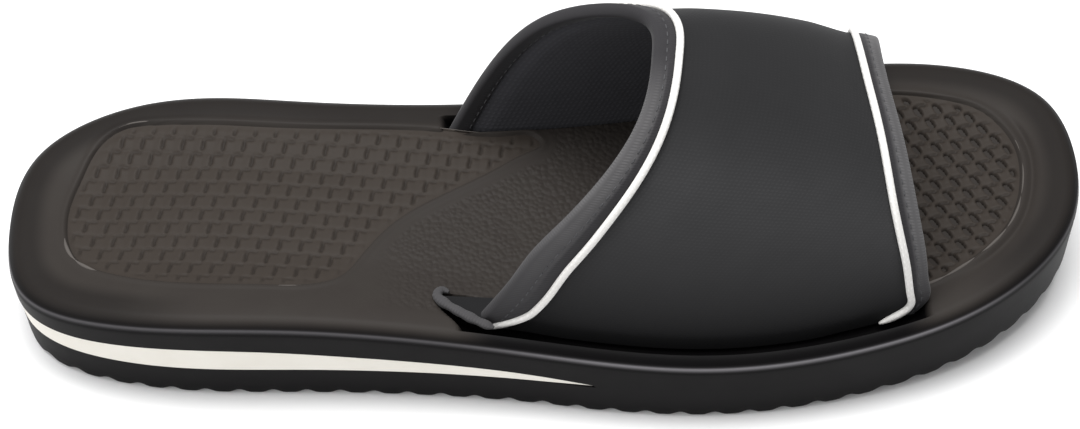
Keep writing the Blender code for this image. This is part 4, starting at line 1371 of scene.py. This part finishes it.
def seam_path(turns, front, inward, lift):
    """Points along a seam, with their direction and the way off the face."""
    path = edge_offset(turns, front, inward, lift)
    above = edge_offset(turns, front, inward, lift + MM) - path
    return path, unit(np.gradient(path, axis=0)), unit(above)


def make_piping(name, front):
    """A tube along the seam, smaller over its last two millimetres. At the outer foot the back cord
    curls towards the edge, and the front one away from it."""
    turns, length = trim_turns(front)
    bend, reach = CURL[front]
    inward = tape_width(turns, front) + PIPING_RADIUS + bend * np.clip(1 - length / reach, 0, 1) ** 2
    path, ahead, above = seam_path(turns, front, inward, PIPING_RADIUS * (1 - PIPING_SINK))
    way = np.clip(np.minimum(length, length[-1] - length) / PIPING_TAPER, 0, 1)
    radius = PIPING_RADIUS * np.sqrt(1 - TAPER_DEPTH * (1 - way) ** 2)
    return tube(name, path, above, np.cross(ahead, above), radius, PIPING_AROUND, length)


for side, front in SEAMS:
    name = "cord_" + side
    add_piece(name, make_piping(name, front), white_cord, "piping_cord", "piping_" + side, sharp=80)

# %% [markdown]
# One row of lockstitch holds each tape. A stitch is a short capsule that lies along the seam, bedded
# into the tape. All the stitches of a row are one mesh: the same small capsule is set at each place by
# adding its own x, y and z along the seam's three directions.

# %% Stitches
STITCH_LENGTH = 0.0019
THREAD_RADIUS = 0.00022
CAPSULE = (6, 6)


def capsule():
    """Rings of a capsule along x: the radius is the square root of one less the fourth power of the way
    along."""
    way = np.linspace(-1, 1, CAPSULE[0] + 1)
    radius = THREAD_RADIUS * np.sqrt(1 - way ** 4)
    angle = np.linspace(0, 2 * np.pi, CAPSULE[1], endpoint=False)
    x = np.repeat(way * STITCH_LENGTH / 2, CAPSULE[1])
    arms = (np.outer(radius, part).ravel() for part in (np.cos(angle), np.sin(angle)))
    return np.column_stack([x, *arms])


def make_stitches(name, front):
    """The capsule at every pitch along the seam, outside and inside the strap."""
    shape = capsule()
    quads = grid_quads(CAPSULE[0] + 1, CAPSULE[1], wrap_columns=True)
    points = []
    faces = []
    turns, length = trim_turns(front)
    inward = STITCH_SHARE * tape_width(turns, front)
    height = leg_height(STITCH_SHARE)
    for lift in (height - STITCH_PULL / 2, -wall_at(inward) - leg_height(STITCH_SHARE / INNER_LEG)):
        path, ahead, above = seam_path(turns, front, inward, lift)
        at = np.arange(STITCH_PITCH, length[-1], STITCH_PITCH) - STITCH_PITCH / 2
        sample = [np.column_stack([np.interp(at, length, part[:, i]) for i in range(3)])
                  for part in (path, ahead, above)]
        across = np.cross(sample[1], sample[2])
        placed = (sample[0][:, None] + sample[1][:, None] * shape[:, :1] + across[:, None] * shape[:, 1:2]
                  + sample[2][:, None] * shape[:, 2:])
        start = sum(len(p) for p in points) + np.arange(len(at))[:, None, None] * len(shape)
        faces.append((quads + start).reshape(-1, 4))
        points.append(placed.reshape(-1, 3))
    points = np.vstack(points)
    return make_mesh(name, points, np.vstack(faces), points[:, :2])


for side, front in SEAMS:
    name = "stitches_" + side
    add_piece(name, make_stitches(name, front), sewing_thread, "binding_tape")

# %% [markdown]
# At the outer foot's rear corner the tape turns back and ends in a curled tip on the footbed, with a
# three-cornered flap of cloth behind it. The rolled end is a tube through a few chosen places, as thick
# as the tape's fold, and the flap is a thin plate between three corners.

# %% Rolled tape end and flap
ROLL_RADIUS = 0.00130
ROLL_FLATNESS = 0.00115 / 0.00130
ROLL_END = 0.15
ROLL_LIFT = 0.0007
ROLL_AROUND = 14
ROLL_STEPS = 90
CRUMPLE = 0.13
CRUMPLE_WAVES = (0.0009, 0.0031)
ROLL_SHADE = 0.5
ROLL_PATH = (
    # along, side
    (0.447, -0.735), (0.434, -0.695), (0.415, -0.622), (0.402, -0.560), (0.3975, -0.512), (0.402, -0.478),
    (0.408, -0.492),
)
FLAP = ((0.398, -0.510), (0.436, -0.690), (0.460, -0.525))
FLAP_STEPS = 12
FLAP_THICKNESS = 0.0008
FLAP_LIFT = 0.0002


def make_roll():
    """A flattened tube through the chosen places, crumpled by two slow waves in its thickness."""
    knots = np.array(ROLL_PATH) * (LENGTH, HALF_WIDTH)
    run = np.concatenate([[0], np.linalg.norm(np.diff(knots, axis=0), axis=1).cumsum()])
    at = np.linspace(0, run[-1], ROLL_STEPS)
    path = on_footbed(spline(run, knots, at), ROLL_LIFT)
    ahead = unit(np.gradient(path, axis=0))
    across = unit(np.cross(ahead, (0.0, 0.0, 1.0)))
    above = np.cross(across, ahead) * ROLL_FLATNESS
    radius = ROLL_RADIUS * np.sqrt(np.clip(1 - ((at / run[-1] - 0.5) * 2) ** 8, ROLL_END, 1))
    radius = radius * (1 + CRUMPLE * np.sin(at / CRUMPLE_WAVES[0]) * np.sin(at / CRUMPLE_WAVES[1]))
    mesh = tube("tape_rolled_end", path, across, above, radius, ROLL_AROUND, at)
    # Painted shade: the rolled end takes half of the tape's shade colour.
    add_layer(mesh, "shade", np.full(len(mesh.vertices), ROLL_SHADE))
    return mesh


def make_flap():
    """A plate whose rows run from the tip to the line between the other two corners."""
    tip, corner, ahead = np.array(FLAP) * (LENGTH, HALF_WIDTH)
    way, share = np.meshgrid(np.linspace(0.02, 1, FLAP_STEPS), np.linspace(0, 1, FLAP_STEPS), indexing="ij")
    flat = tip + way[..., None] * (corner - tip + share[..., None] * (ahead - corner))
    upper = on_footbed(flat.reshape(-1, 2), FLAP_LIFT).reshape(FLAP_STEPS, FLAP_STEPS, 3)
    mesh = shell("flap_outer", upper, upper - (0, 0, FLAP_THICKNESS))
    # Painted shade: the flap takes the knit's full shade colour.
    add_layer(mesh, "shade", np.ones(len(mesh.vertices)))
    return mesh


add_piece("tape_rolled_end", make_roll(), edge_tape, "binding_tape", sharp=60)
add_piece("flap_outer", make_flap(), strap_knit, "strap_cloth", sharp=60)
